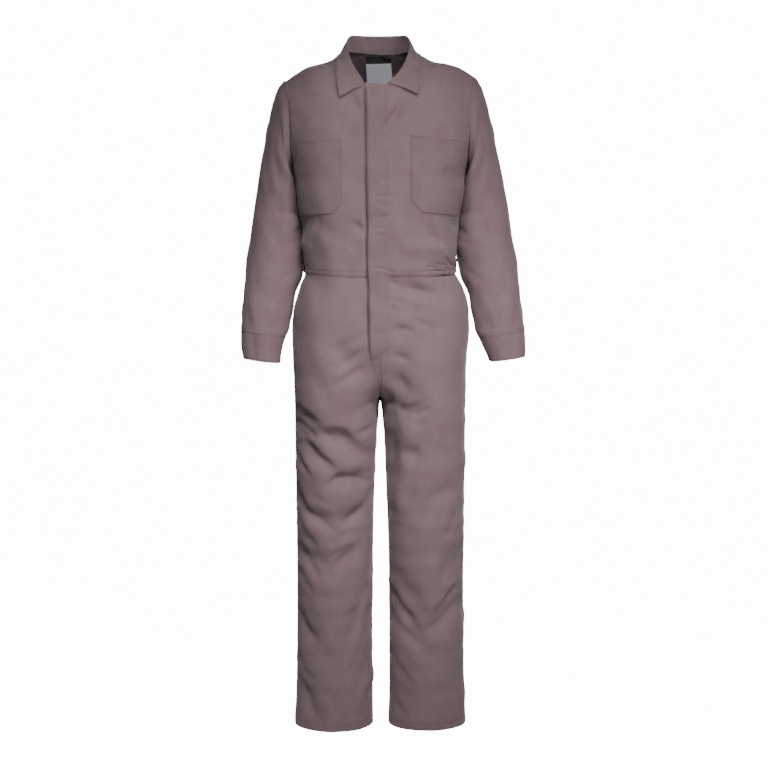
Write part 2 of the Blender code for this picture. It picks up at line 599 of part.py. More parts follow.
def sleeve_ring(table, side, share, angles):
    middle, reach, depth = ring_frame(table, side, share)
    ring = middle + np.cos(angles)[:, None] * reach
    ring[:, 1] -= np.sin(angles) * depth
    return ring


def even_angles(count):
    return np.arange(count) * 2.0 * math.pi / count


def armhole_angles(table, side, loop):
    """Angle of each armhole point on the sleeve's first oval."""
    middle, reach, depth = ring_frame(table, side, 0.0)
    outward = (loop - middle) @ reach / (reach @ reach)
    forward = (middle[1] - loop[:, 1]) / depth
    angles = np.unwrap(np.arctan2(forward, outward))
    return angles - 2.0 * math.pi * round(angles[0] / (2.0 * math.pi))


def sleeve_grid(side):
    """Rings of a sleeve from the armhole to the cuff seam."""
    table = named_columns(SLEEVE_COLUMNS, SLEEVE)
    loop = armhole(side)
    start_angles = armhole_angles(table, side, loop)
    first = sleeve_ring(table, side, 0.0, start_angles)
    misfit = (loop - loop.mean(axis=0)) - (first - first.mean(axis=0))
    rings = [loop]
    for share in np.linspace(0.0, 1.0, SLEEVE_RINGS):
        turn = smooth_step(share / ANGLE_EASE)
        angles = start_angles + (even_angles(len(loop)) - start_angles) * turn
        rings.append(sleeve_ring(table, side, share, angles)
                     + misfit * 0.6 * (1.0 - smooth_step(share / RING_EASE)))
    return np.stack(rings)


def tube_normals(grid, turn):
    """Outward normals of a tube of rings."""
    around = np.roll(grid, -1, axis=1) - np.roll(grid, 1, axis=1)
    down = np.gradient(grid, axis=0)
    return unit(np.cross(around, down)) * turn


def surface_tree(grids):
    """A search tree over the outer faces of several grids."""
    vertices, faces = [], []
    for grid, flip in grids:
        rows, columns = grid.shape[:2]
        faces += grid_faces(rows, columns, False, len(vertices), flip)
        vertices += [Vector(point) for point in grid.reshape(-1, 3)]
    return BVHTree.FromPolygons(vertices, faces)


def stand_off(points, tree, clearance):
    """Move points out until they clear the faces of a tree."""
    moved = points.copy()
    for index in np.ndindex(points.shape[:-1]):
        for _ in range(3):
            place, normal, _, _ = tree.find_nearest(Vector(moved[index]))
            height = (Vector(moved[index]) - place).dot(normal)
            if height >= clearance:
                break
            moved[index] += np.array(normal) * (clearance - height)
    return moved


def between(grid, parts):
    """A grid with its cells split into finer ones."""
    rows, columns = grid.shape[:2]
    down = np.linspace(0.0, rows - 1.0, (rows - 1) * parts + 1)
    over = np.linspace(0.0, columns - 1.0, (columns - 1) * parts + 1)
    row = np.minimum(down.astype(int), rows - 2)
    column = np.minimum(over.astype(int), columns - 2)
    low, part = np.meshgrid(row, column, indexing="ij"), np.meshgrid(down - row, over - column, indexing="ij")
    row, column = low
    climb, cross = (share[..., None] for share in part)
    start, end = grid[row, column], grid[row + 1, column + 1]
    beside, above = grid[row, column + 1], grid[row + 1, column]
    lower = start + cross * (beside - start) + climb * (end - beside)
    upper = start + climb * (above - start) + cross * (end - above)
    return np.where(cross > climb, lower, upper), row, column


def clear_of(tree, grid, clearance, reach=0.012):
    """Lift a grid's points until its faces, not only its points, clear the faces of a tree."""
    grid = grid.copy()
    for _ in range(LIFT_ROUNDS):
        fine, row, column = between(grid, LIFT_PARTS)
        lift = np.zeros(grid.shape)
        for index in np.ndindex(fine.shape[:2]):
            place, normal, _, _ = tree.find_nearest(Vector(fine[index]))
            offset = Vector(fine[index]) - place
            short = clearance - offset.dot(normal)
            if short <= 0.0 or offset.length > reach:
                continue
            move = np.array(normal) * short
            for near in ((0, 0), (0, 1), (1, 0), (1, 1)):
                corner_index = (row[index] + near[0], column[index] + near[1])
                if short > np.linalg.norm(lift[corner_index]):
                    lift[corner_index] = move
        grid += lift
    return grid


def onto(tree, points):
    """The nearest points on the flat faces of a tree."""
    seated = points.copy()
    for index in np.ndindex(points.shape[:-1]):
        seated[index] = tree.find_nearest(Vector(points[index]))[0]
    return seated


def panel_grids():
    """Outer faces of the bodice and the legs before they are parted at the seams."""
    grids = {}
    across = np.linspace(0.0, 1.0, BODICE_COLUMNS + 1)[None, :]
    for side in (-1.0, 1.0):
        for face in ("front", "back"):
            grids["bodice", face, side] = form("bodice", face, side, across, bodice_rows(face)[:, None])
    across = np.linspace(0.0, 1.0, LEG_COLUMNS + 1)[None, :]
    for side in (-1.0, 1.0):
        for face in ("front", "back"):
            grids["leg", face, side] = form("leg", face, side, across, leg_rows()[:, None])
    return grids


def pocket_mouth(grid):
    """A leg front whose side edge is drawn in along the mouth of the side pocket."""
    grid = grid.copy()
    edge = grid[:, -1, 2]
    part = np.clip((edge - MOUTH_FOOT) / (MOUTH_TOP - MOUTH_FOOT), 0.0, 1.0)
    open_by = MOUTH_WIDTH * np.sin(math.pi * part) ** 0.7
    inward = unit(grid[:, -2] - grid[:, -1])
    grid[:, -1] += inward * open_by[:, None]
    return grid


def part_middle_seam(grid, side):
    """Keep a leg panel's centre edge half a seam gap from the middle plane."""
    grid[:, 0, 0] = side * np.maximum(side * grid[:, 0, 0], SEAM_GAP / 2.0)


def inward_flip(grid):
    """Whether a lining's triangles are turned so that they face the inside."""
    middle = tuple(length // 2 for length in grid.shape[:2])
    across = grid[middle[0], middle[1] + 1] - grid[middle]
    up = grid[middle[0] + 1, middle[1]] - grid[middle]
    axis = np.array([grid[..., 0].mean() if grid[..., 0].min() * grid[..., 0].max() > 0.0 else 0.0, 0.0, 0.0])
    outward = (grid[middle] - axis) * np.array([1.0, 1.0, 0.0])
    return bool(np.cross(across, up) @ outward > 0.0)


def add_panels(grids, skin, collection):
    """The fronts and back of the bodice and the four leg panels.  Returns their inner faces."""
    linings = {}

    def layers(key, edges, placed=None):
        placed = grids[key] if placed is None else placed
        linings[key] = placed - skin.normals(grids[key]) * CLOTH
        return trim(placed, edges), trim(linings[key], edges)

    for side, name in ((-1.0, "right"), (1.0, "left")):
        outer, inner = layers(("bodice", "front", side), ("first_row", "last_row", "first_column", "last_column"))
        add_wall("front_" + name, outer, inner, "cloth", collection)
        for face in ("front", "back"):
            key = ("leg", face, side)
            placed = pocket_mouth(grids[key]) if face == "front" else None
            outer, inner = layers(key, ("first_row", "first_column", "last_column"), placed)
            for layer in (outer, inner):
                part_middle_seam(layer, side)
            add_wall("leg_" + face + "_" + name, outer, inner, "cloth", collection)
    right, left = (layers(("bodice", "back", side), ("first_row", "last_row", "last_column"))
                   for side in (-1.0, 1.0))
    outer, inner = (np.concatenate([one[:, ::-1], other], axis=1) for one, other in zip(right, left))
    add_wall("back", outer, inner, "cloth", collection, slit=(BODICE_COLUMNS, sum(BODICE_CELLS["back"][:2])))
    return linings


def add_sleeve(side, name, skin, tree, collection):
    """A sleeve from its armhole to the cuff, and the cuff."""
    grid = sleeve_grid(side)
    inner_side = np.cos(even_angles(grid.shape[1])) < -0.3
    low = grid[3:, inner_side]
    grid[3:, inner_side] = stand_off(low, tree, SLEEVE_CLEARANCE)
    normals = tube_normals(grid, -side)
    for number, point in enumerate(grid[0]):
        normals[0, number] = skin.fixed[skin.key(point)]
    outer = trim(grid, ("first_row",), 2.0 * SEAM_GAP)
    inner = trim(grid - normals * CLOTH, ("first_row",), 2.0 * SEAM_GAP)
    add_wall("sleeve_" + name, trim(outer, ("last_row",)), trim(inner, ("last_row",)), "cloth", collection,
             closed=True)

    table = named_columns(SLEEVE_COLUMNS, CUFF)
    rings = np.stack([sleeve_ring(table, side, share, even_angles(grid.shape[1]))
                      for share in np.linspace(0.0, 1.0, CUFF_RINGS)])
    cuff_normals = tube_normals(rings, -side)
    cuff_normals[0] = normals[-1]
    add_wall("cuff_" + name, trim(rings, ("first_row",)), trim(rings - cuff_normals * CLOTH, ("first_row",)),
             "cloth", collection, closed=True)


def collar_grid(outer_edges, inner_edges):
    """The collar's visible face, from the neck seam over the roll to the free edge, and its outer seam."""
    table = named_columns(COLLAR_COLUMNS, COLLAR)
    numbers = np.arange(COLLAR_SECTIONS + 1)
    shares = np.interp(numbers, [0.0, COLLAR_SECTIONS / 2.0, COLLAR_SECTIONS], [0.0, NECK_FRONT_SHARE, 1.0])
    sections, outer_seam = [], []
    for side, order in ((-1.0, numbers), (1.0, numbers[-2::-1])):
        mirror = np.array([side, 1.0, 1.0])
        shift = np.array([NECK_SHIFT, 0.0, 0.0])
        outer = resample(outer_edges[side], COLLAR_SECTIONS + 1)
        inner = resample(inner_edges[side], COLLAR_SECTIONS + 1)
        for number in order:
            seam = inner[number]
            roll, edge = (np.array([along(table[axis + name], shares[number]) for axis in ("x_", "y_", "z_")])
                          * mirror + shift for name in ("roll", "edge"))
            out = unit((edge - roll) * np.array([1.0, 1.0, 0.0]))
            crown = unit(np.cross(np.cross(edge - roll, out), edge - roll))
            section = [seam, seam + (roll - seam) * 0.45, seam + (roll - seam) * 0.88,
                       roll + out * COLLAR_ROLL_WIDTH * 0.35 + np.array([0.0, 0.0, 0.0010]),
                       roll + out * COLLAR_ROLL_WIDTH * 0.9 + (edge - roll) * 0.02]
            start = roll + out * COLLAR_ROLL_WIDTH
            for part in (0.3, 0.65, 1.0):
                bulge = COLLAR_BULGE * 4.0 * part * (1.0 - part)
                section.append(start + (edge - start) * part + crown * bulge)
            sections.append(np.array(section))
            outer_seam.append(outer[number])
    return np.stack(sections), np.array(outer_seam)


def add_collar(grids, skin, tree, collection):
    edges = {side: neck_edges(grids, skin, side) for side in (-1.0, 1.0)}
    grid, outer_seam = collar_grid({side: edges[side][0] for side in edges},
                                   {side: edges[side][1] for side in edges})
    fall = grid[:, COLLAR_ROLL_POINT:]
    grid[:, COLLAR_ROLL_POINT:] = clear_of(tree, fall, CLOTH + PATCH_LIFT)
    normals = unit(np.cross(np.gradient(grid, axis=0), np.gradient(grid, axis=1)))
    under = grid - normals * CLOTH
    under[:, 0] = outer_seam
    under[:, 1:] = clear_of(tree, under[:, 1:], PATCH_LIFT)
    add_wall("collar", grid, under, "cloth", collection)


def add_patch(name, x, z, wall, tree, collection):
    """A piece that lies on the fronts, over a grid of x and z."""
    points, normals = front_place(x, z)
    under = clear_of(tree, onto(tree, points) + normals * PATCH_LIFT, PATCH_LIFT)
    add_wall(name, under + normals * wall, under, "cloth", collection)


def add_fly(tree, collection):
    z = np.linspace(FLY_TOP, FLY_FOOT, FLY_ROWS + 1)[:, None]
    levels = [-FLY_TOP, -WAIST_LEVEL, -FLY_FOOT]
    free = np.interp(-z, levels, FLY_FREE_EDGE)
    sewn = np.interp(-z, levels, FLY_SEWN_EDGE)
    x = free + (sewn - free) * np.linspace(0.0, 1.0, FLY_COLUMNS + 1)[None, :]
    add_patch("fly", x, z + 0.0 * x, FLY_WALL, tree, collection)


def add_chest_pocket(name, size, tree, collection):
    across = np.linspace(0.0, 1.0, POCKET_CELLS + 1)[None, :]
    down = np.linspace(0.0, 1.0, POCKET_CELLS + 1)[:, None]
    width = abs(size["x_outer_bottom"] - size["x_inner"])
    top = size["z_top_inner"] + (size["z_top_outer"] - size["z_top_inner"]) * across
    bottom = size["z_bottom_inner"] + (size["z_bottom_outer"] - size["z_bottom_inner"]) * across
    bottom = bottom + np.maximum(0.0, size["chamfer"] - across * width)
    outer_edge = size["x_outer_top"] + (size["x_outer_bottom"] - size["x_outer_top"]) * down
    x = size["x_inner"] + (outer_edge - size["x_inner"]) * across
    add_patch(name, x, top + (bottom - top) * down, POCKET_WALL, tree, collection)


def add_elastic(tree, collection):
    """The gathered band round the back waist, with its rows of shirring."""
    rows = np.linspace(0.0, 1.0, 2 * ELASTIC_RIBS + 1)
    low = level_share("bodice", "back", "z_mid", WAIST_LEVEL + ELASTIC_RISE)
    high = level_share("bodice", "back", "z_mid", WAIST_LEVEL + ELASTIC_RISE + ELASTIC_HEIGHT)
    columns = []
    for around in np.linspace(-1.0, 1.0, ELASTIC_COLUMNS + 1):
        side = -1.0 if around < 0.0 else 1.0
        place = (np.full(rows.shape, abs(around)), low + (high - low) * rows)
        columns.append((form("bodice", "back", side, *place), form_normals("bodice", "back", side, *place)))
    points = onto(tree, np.stack([column[0] for column in columns], axis=1))
    normals = np.stack([column[1] for column in columns], axis=1)
    rib = ELASTIC_RIB_RISE * (np.arange(len(rows)) % 2)[:, None, None]
    under = clear_of(tree, points + normals * PATCH_LIFT, PATCH_LIFT)
    add_wall("waist_elastic", under + normals * (ELASTIC_WALL + rib), under, "cloth", collection)


def add_behind(name, points, normals, wall, material, lining, collection):
    """A piece that lies against the inside of a panel."""
    face = clear_of(lining, onto(lining, points - normals * CLOTH) - normals * PATCH_LIFT, PATCH_LIFT)
    add_wall(name, face, face - normals * wall, material, collection)


def add_zip(lining, collection):
    """Plain zip tape behind the front edges, under the fly."""
    z = np.linspace(FLY_TOP - 0.012, FLY_FOOT + 0.010, ZIP_ROWS + 1)[:, None]
    x = np.array([-1.0, 0.0, 1.0])[None, :] * ZIP_HALF_WIDTH
    points, normals = front_place(x, z)
    add_behind("zip_tape", points, normals, ZIP_WALL, "zip_tape", lining, collection)


def add_facing(side, name, lining, collection):
    """The layer of cloth that shows in the mouth of a side pocket."""
    top = level_share("leg", "front", "z_side", MOUTH_TOP + 0.012)
    foot = level_share("leg", "front", "z_side", MOUTH_FOOT - 0.012)
    up, across = np.broadcast_arrays(np.linspace(top, foot, 13)[:, None],
                                     np.linspace(1.0 - FACING_REACH, 0.985, 6)[None, :])
    add_behind("pocket_facing_" + name, form("leg", "front", side, across, up),
               form_normals("leg", "front", side, across, up), FACING_WALL, "cloth", lining, collection)


def add_labels(lining, collection):
    """Bare labels that hang inside the back of the neck."""
    across = np.linspace(-LABEL_HALF_WIDTH, LABEL_HALF_WIDTH, 7) + NECK_SHIFT
    for name, material, levels in (("neck_label", "label_dark", BRAND_LABEL_Z),
                                   ("care_label", "label_light", CARE_LABEL_Z)):
        x, z = np.meshgrid(across, np.linspace(levels[0], levels[1], 5))
        rear = np.stack([x, np.full(x.shape, NAPE_Y) + LABEL_LEAN * (BRAND_LABEL_Z[0] - z), z], axis=-1)
        rear = clear_of(lining, rear, PATCH_LIFT)
        add_wall(name, rear, rear - np.array([0.0, LABEL_WALL, 0.0]), material, collection)


def main():
    for item in list(bpy.data.objects):
        bpy.data.objects.remove(item, do_unlink=True)
    collection = bpy.data.collections.new("boiler_suit")
    bpy.context.scene.collection.children.link(collection)

    grids = panel_grids()
    skin = Skin()
    for key, grid in grids.items():
        skin.add(grid, outward_turn(*key))
    for side in (-1.0, 1.0):
        loop = armhole(side)
        for point in loop:
            skin.fix(point, (point - loop.mean(axis=0)) * np.array([0.0, 1.0, 1.0]))
    linings = add_panels(grids, skin, collection)
    tree = surface_tree([(grid, outward_turn(*key) < 0.0) for key, grid in grids.items()])
    lining = surface_tree([(grid, inward_flip(grid)) for grid in linings.values()])
    for side, name in ((-1.0, "right"), (1.0, "left")):
        add_sleeve(side, name, skin, tree, collection)
        add_facing(side, name, lining, collection)
    add_collar(grids, skin, tree, collection)
    add_fly(tree, collection)
    for name, size in CHEST_POCKETS.items():
        add_chest_pocket(name, size, tree, collection)
    add_elastic(tree, collection)
    add_zip(lining, collection)
    add_labels(lining, collection)


main()
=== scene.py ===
"""Boiler suit: the cloth, its creases, seams, stitching and labels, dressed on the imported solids.

The front faces -Y, the wearer's left is +X and +Z is up, in metres.  Each panel follows the same
tables of sections as its solid and adds the finer creases.
"""
import math

import bpy
import numpy as np
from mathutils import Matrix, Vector
from mathutils.bvhtree import BVHTree


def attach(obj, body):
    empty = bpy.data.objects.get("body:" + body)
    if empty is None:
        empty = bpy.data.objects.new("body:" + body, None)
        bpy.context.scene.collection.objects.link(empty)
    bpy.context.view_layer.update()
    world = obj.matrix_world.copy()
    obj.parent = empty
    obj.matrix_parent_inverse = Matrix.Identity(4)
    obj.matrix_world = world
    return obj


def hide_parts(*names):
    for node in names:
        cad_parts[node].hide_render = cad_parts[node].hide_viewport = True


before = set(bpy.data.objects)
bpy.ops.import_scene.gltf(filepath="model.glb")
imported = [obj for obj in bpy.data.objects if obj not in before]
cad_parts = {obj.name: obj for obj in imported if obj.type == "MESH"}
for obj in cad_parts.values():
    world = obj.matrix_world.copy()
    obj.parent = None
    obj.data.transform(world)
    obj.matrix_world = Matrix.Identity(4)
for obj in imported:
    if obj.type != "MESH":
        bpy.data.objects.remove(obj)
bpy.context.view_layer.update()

SIDES = ((-1.0, "right"), (1.0, "left"))       # the wearer's
FACES = ("front", "back")
TURN = 2.0 * math.pi
ELLIPSE_HANDLE = 0.5523        # Bezier handle of a quarter ellipse
NECK_SHIFT = -0.0035           # the neck sits a little to the wearer's right
LEFT_LEG_INSET = 0.0035        # the leg at +X hangs a little further from the middle
MID_SHARE = 0.42               # share of a panel between its centre edge and its middle

# Bodice fronts: one row for each level, from the waist seam to the shoulder seam.  "centre" is the
# front edge and then the neckline, "side" is the side seam and then the armhole.
PANEL_COLUMNS = ("x_centre", "y_centre", "z_centre", "x_mid", "y_mid", "z_mid",
                 "x_side", "y_side", "z_side", "wrap", "fullness")
BODICE_FRONT = (
    (0.000, -0.119, -0.522, 0.075, -0.117, -0.521, 0.1760, 0.000, -0.515, 0.0, 1.00),
    (0.000, -0.125, -0.470, 0.080, -0.123, -0.468, 0.1790, 0.000, -0.462, 0.0, 1.00),
    (0.000, -0.132, -0.400, 0.085, -0.130, -0.397, 0.1865, 0.000, -0.392, 0.0, 1.00),
    (0.000, -0.136, -0.345, 0.090, -0.134, -0.342, 0.1935, 0.000, -0.338, 0.0, 1.00),
    (0.000, -0.137, -0.300, 0.092, -0.135, -0.297, 0.1985, 0.000, -0.292, 0.0, 0.98),
    (0.000, -0.136, -0.250, 0.095, -0.133, -0.244, 0.2035, -0.050, -0.240, 0.0, 0.75),
    (0.000, -0.131, -0.200, 0.096, -0.126, -0.190, 0.2055, -0.070, -0.182, 0.0, 0.62),
    (0.000, -0.122, -0.150, 0.100, -0.115, -0.138, 0.2085, -0.066, -0.128, 0.0, 0.58),
    (0.000, -0.1035, -0.0905, 0.105, -0.094, -0.089, 0.2145, -0.047, -0.093, 0.0, 0.50),
    (0.031, -0.0965, -0.0860, 0.115, -0.072, -0.062, 0.2195, -0.026, -0.076, 0.0, 0.45),
    (0.062, -0.055, -0.045, 0.132, -0.037, -0.037, 0.2230, -0.008, -0.0695, 0.0, 0.45),
    (0.073, 0.005, -0.001, 0.145, 0.008, -0.031, 0.2245, 0.012, -0.0675, 0.0, 0.45),
)
BODICE_BACK = (
    (0.000, 0.100, -0.522, 0.075, 0.102, -0.521, 0.1760, 0.000, -0.515, 0.0, 1.00),
    (0.000, 0.106, -0.470, 0.080, 0.110, -0.468, 0.1790, 0.000, -0.462, 0.0, 1.00),
    (0.000, 0.115, -0.400, 0.085, 0.121, -0.397, 0.1865, 0.000, -0.392, 0.0, 1.00),
    (0.000, 0.121, -0.345, 0.090, 0.128, -0.342, 0.1935, 0.000, -0.338, 0.0, 1.00),
    (0.000, 0.125, -0.300, 0.092, 0.132, -0.297, 0.1985, 0.000, -0.292, 0.0, 0.98),
    (0.000, 0.127, -0.250, 0.095, 0.134, -0.244, 0.2035, 0.060, -0.240, 0.0, 0.75),
    (0.000, 0.127, -0.200, 0.098, 0.131, -0.190, 0.2035, 0.080, -0.182, 0.0, 0.62),
    (0.000, 0.124, -0.145, 0.102, 0.122, -0.136, 0.2065, 0.079, -0.128, 0.0, 0.58),
    (0.000, 0.116, -0.095, 0.107, 0.107, -0.090, 0.2125, 0.062, -0.095, 0.0, 0.50),
    (0.000, 0.104, -0.045, 0.114, 0.086, -0.058, 0.2185, 0.041, -0.0775, 0.0, 0.45),
    (0.000, 0.089, 0.002, 0.124, 0.062, -0.041, 0.2225, 0.026, -0.0705, 0.0, 0.45),
    (0.031, 0.084, 0.0025, 0.130, 0.050, -0.036, 0.2232, 0.022, -0.0690, 0.0, 0.45),
    (0.058, 0.059, 0.0025, 0.138, 0.031, -0.0325, 0.2240, 0.016, -0.0680, 0.0, 0.45),
    (0.073, 0.005, -0.001, 0.145, 0.008, -0.031, 0.2245, 0.012, -0.0675, 0.0, 0.45),
)
LAST_ROW = {"front": len(BODICE_FRONT) - 1, "back": len(BODICE_BACK) - 1}
NAPE_LEVEL = 10                # row of the back at the nape
NECK_FOOT_LEVEL = 8            # row of the fronts at the foot of the neckline
UNDERARM_LEVEL = 4

# Legs: one row for each level, from the waist seam over the crotch to the hem.  "centre" is the
# middle seam down to the crotch and then the inside leg.
LEG_COLUMN_NAMES = ("x_centre", "y_centre_front", "y_centre_back", "z_centre",
                    "x_mid", "y_mid_front", "y_mid_back", "z_mid",
                    "x_side", "z_side", "wrap")
LEG = (
    (0.0000, -0.119, 0.100, -0.522, 0.075, -0.117, 0.102, -0.521, 0.1760, -0.515, 0.00),
    (0.0000, -0.122, 0.110, -0.560, 0.082, -0.121, 0.115, -0.558, 0.1930, -0.553, 0.00),
    (0.0000, -0.124, 0.121, -0.603, 0.088, -0.124, 0.128, -0.602, 0.2030, -0.600, 0.00),
    (0.0000, -0.123, 0.130, -0.652, 0.093, -0.125, 0.139, -0.652, 0.2065, -0.652, 0.00),
    (0.0000, -0.117, 0.132, -0.700, 0.097, -0.124, 0.144, -0.702, 0.2025, -0.704, 0.05),
    (0.0000, -0.102, 0.123, -0.745, 0.099, -0.122, 0.144, -0.750, 0.2015, -0.755, 0.15),
    (0.0000, -0.075, 0.096, -0.780, 0.100, -0.120, 0.140, -0.787, 0.2010, -0.793, 0.38),
    (0.0000, -0.036, 0.053, -0.801, 0.102, -0.118, 0.135, -0.815, 0.2005, -0.822, 0.65),
    (0.0000, 0.005, 0.005, -0.808, 0.103, -0.115, 0.130, -0.838, 0.2000, -0.848, 0.90),
    (0.0055, 0.005, 0.005, -0.842, 0.103, -0.111, 0.124, -0.870, 0.2000, -0.882, 1.00),
    (0.0110, 0.003, 0.003, -0.930, 0.104, -0.102, 0.111, -0.950, 0.1990, -0.958, 1.00),
    (0.0155, 0.000, 0.000, -1.060, 0.106, -0.092, 0.097, -1.070, 0.1980, -1.075, 1.00),
    (0.0185, 0.000, 0.000, -1.200, 0.107, -0.086, 0.088, -1.204, 0.1970, -1.207, 1.00),
    (0.0195, 0.000, 0.000, -1.340, 0.108, -0.081, 0.083, -1.342, 0.1975, -1.344, 1.00),
    (0.0198, 0.000, 0.000, -1.480, 0.110, -0.079, 0.080, -1.481, 0.2000, -1.482, 1.00),
    (0.0175, 0.000, 0.000, -1.588, 0.111, -0.080, 0.081, -1.588, 0.2045, -1.588, 1.00),
)
CROTCH_ROW = 8                 # row at the foot of the middle seam
CROTCH_SHARE = CROTCH_ROW / (len(LEG) - 1)

# Sleeves: one row for each ring after the armhole, by its outer and its inner point.
SLEEVE_COLUMNS = ("x_out_left", "x_out_right", "z_out", "x_in_left", "x_in_right", "z_in",
                  "y_mid", "half_depth")
SLEEVE = (
    (0.2365, 0.2385, -0.090, 0.2000, 0.2000, -0.302, 0.011, 0.079),
    (0.2460, 0.2490, -0.124, 0.1990, 0.1990, -0.311, 0.018, 0.080),
    (0.2590, 0.2620, -0.174, 0.1970, 0.1970, -0.325, 0.025, 0.079),
    (0.2725, 0.2745, -0.235, 0.1940, 0.1940, -0.345, 0.030, 0.077),
    (0.2870, 0.2860, -0.305, 0.1890, 0.1890, -0.376, 0.034, 0.075),
    (0.2995, 0.2965, -0.372, 0.1845, 0.1840, -0.414, 0.034, 0.073),
    (0.3090, 0.3065, -0.432, 0.1805, 0.1795, -0.458, 0.029, 0.070),
    (0.3180, 0.3130, -0.485, 0.1880, 0.1825, -0.503, 0.018, 0.067),
    (0.3255, 0.3180, -0.537, 0.2040, 0.1955, -0.552, 0.005, 0.063),
    (0.3320, 0.3225, -0.590, 0.2175, 0.2075, -0.604, -0.008, 0.058),
    (0.3390, 0.3255, -0.645, 0.2320, 0.2230, -0.660, -0.020, 0.052),
)
CUFF = (
    (0.3390, 0.3255, -0.645, 0.2320, 0.2230, -0.660, -0.020, 0.052),
    (0.3402, 0.3250, -0.677, 0.2440, 0.2300, -0.690, -0.026, 0.048),
    (0.3395, 0.3190, -0.707, 0.2600, 0.2375, -0.719, -0.031, 0.044),
)
RING_EASE = 0.22               # share of the sleeve over which the armhole turns into an oval
ANGLE_EASE = 0.55              # share over which its points spread evenly

# Collar: one row for each section, from its front end to the middle of the back.  "roll" is the fold
# at the top and "edge" is the free edge of the fall.
COLLAR_COLUMNS = ("x_roll", "y_roll", "z_roll", "x_edge", "y_edge", "z_edge")
COLLAR = (
    (0.0215, -0.1040, -0.0800, 0.0885, -0.1100, -0.1190),
    (0.0460, -0.0835, -0.0560, 0.0950, -0.0850, -0.0900),
    (0.0635, -0.0480, -0.0210, 0.0970, -0.0480, -0.0500),
    (0.0705, -0.0040, 0.0080, 0.0945, -0.0020, -0.0180),
    (0.0700, 0.0290, 0.0300, 0.0925, 0.0400, -0.0140),
    (0.0590, 0.0610, 0.0425, 0.0740, 0.0800, -0.0100),
    (0.0300, 0.0820, 0.0440, 0.0390, 0.1030, -0.0110),
    (0.0000, 0.0880, 0.0440, 0.0000, 0.1090, -0.0120),
)
NECK_FRONT_SHARE = 0.457       # share of the collar that is sewn to the fronts
NECK_MIDDLE = (0.0, 0.0, 0.050)

# Large folds, which the solids have too, in millimetres: x and z of the start and of the end, width,
# and depth, which is minus for a trough.
FRONT_FOLDS = (
    (60, -116, 10, -196, 16, -5.5),
    (-63, -119, -34, -158, 16, -3.5),
    (22, -530, 150, -560, 18, -8),
    (30, -585, 105, -600, 18, -5),
    (26, -640, 75, -662, 18, -5),
    (28, -750, 75, -785, 20, -10.5),
    (-142, -653, -36, -738, 22, -6.5),
    (-192, -837, -152, -876, 20, -7.5),
    (-155, -875, -36, -931, 22, -13.5),
    (-183, -922, -107, -972, 20, -9),
    (-112, -1008, -69, -984, 20, -7.5),
    (-69, -984, -28, -1000, 20, -7.5),
    (-181, -1066, -93, -1096, 22, -10.5),
    (-93, -1096, -34, -1058, 22, -10.5),
    (-188, -1157, -131, -1210, 24, -12),
    (-131, -1210, -53, -1150, 24, -10.5),
    (-36, -1264, -80, -1420, 24, -9),
    (-192, -1333, -139, -1396, 22, -9),
    (-196, -1465, -150, -1565, 22, -9),
    (36, -845, 92, -815, 20, -9),
    (32, -905, 110, -950, 22, -7.5),
    (180, -1000, 115, -1045, 22, -7.5),
    (34, -1202, 98, -1326, 22, -9),
    (36, -1285, 112, -1395, 22, -9),
    (192, -1157, 140, -1235, 22, -9),
    (192, -1273, 125, -1340, 22, -9),
    (105, -405, 168, -440, 18, -5.5),
    (-168, -395, -95, -425, 18, -5.5),
)
BACK_FOLDS = (
    (-155, -435, -30, -450, 20, 6.5),
    (20, -445, 150, -430, 20, 6.5),
    (-185, -255, -115, -315, 22, -6.5),
    (180, -250, 120, -320, 22, -6.5),
    (35, -795, 150, -843, 24, -12),
    (-30, -800, -160, -835, 24, -12),
    (45, -890, 150, -925, 22, -9),
    (-50, -900, -140, -938, 22, -9),
    (45, -1060, 165, -1105, 24, -10.5),
    (-170, -1070, -60, -1100, 24, -10.5),
    (55, -1160, 150, -1140, 24, -9),
    (-150, -1175, -50, -1155, 24, -9),
    (175, -1330, 110, -1420, 24, -7.5),
    (-60, -1330, -120, -1440, 24, -7.5),
)

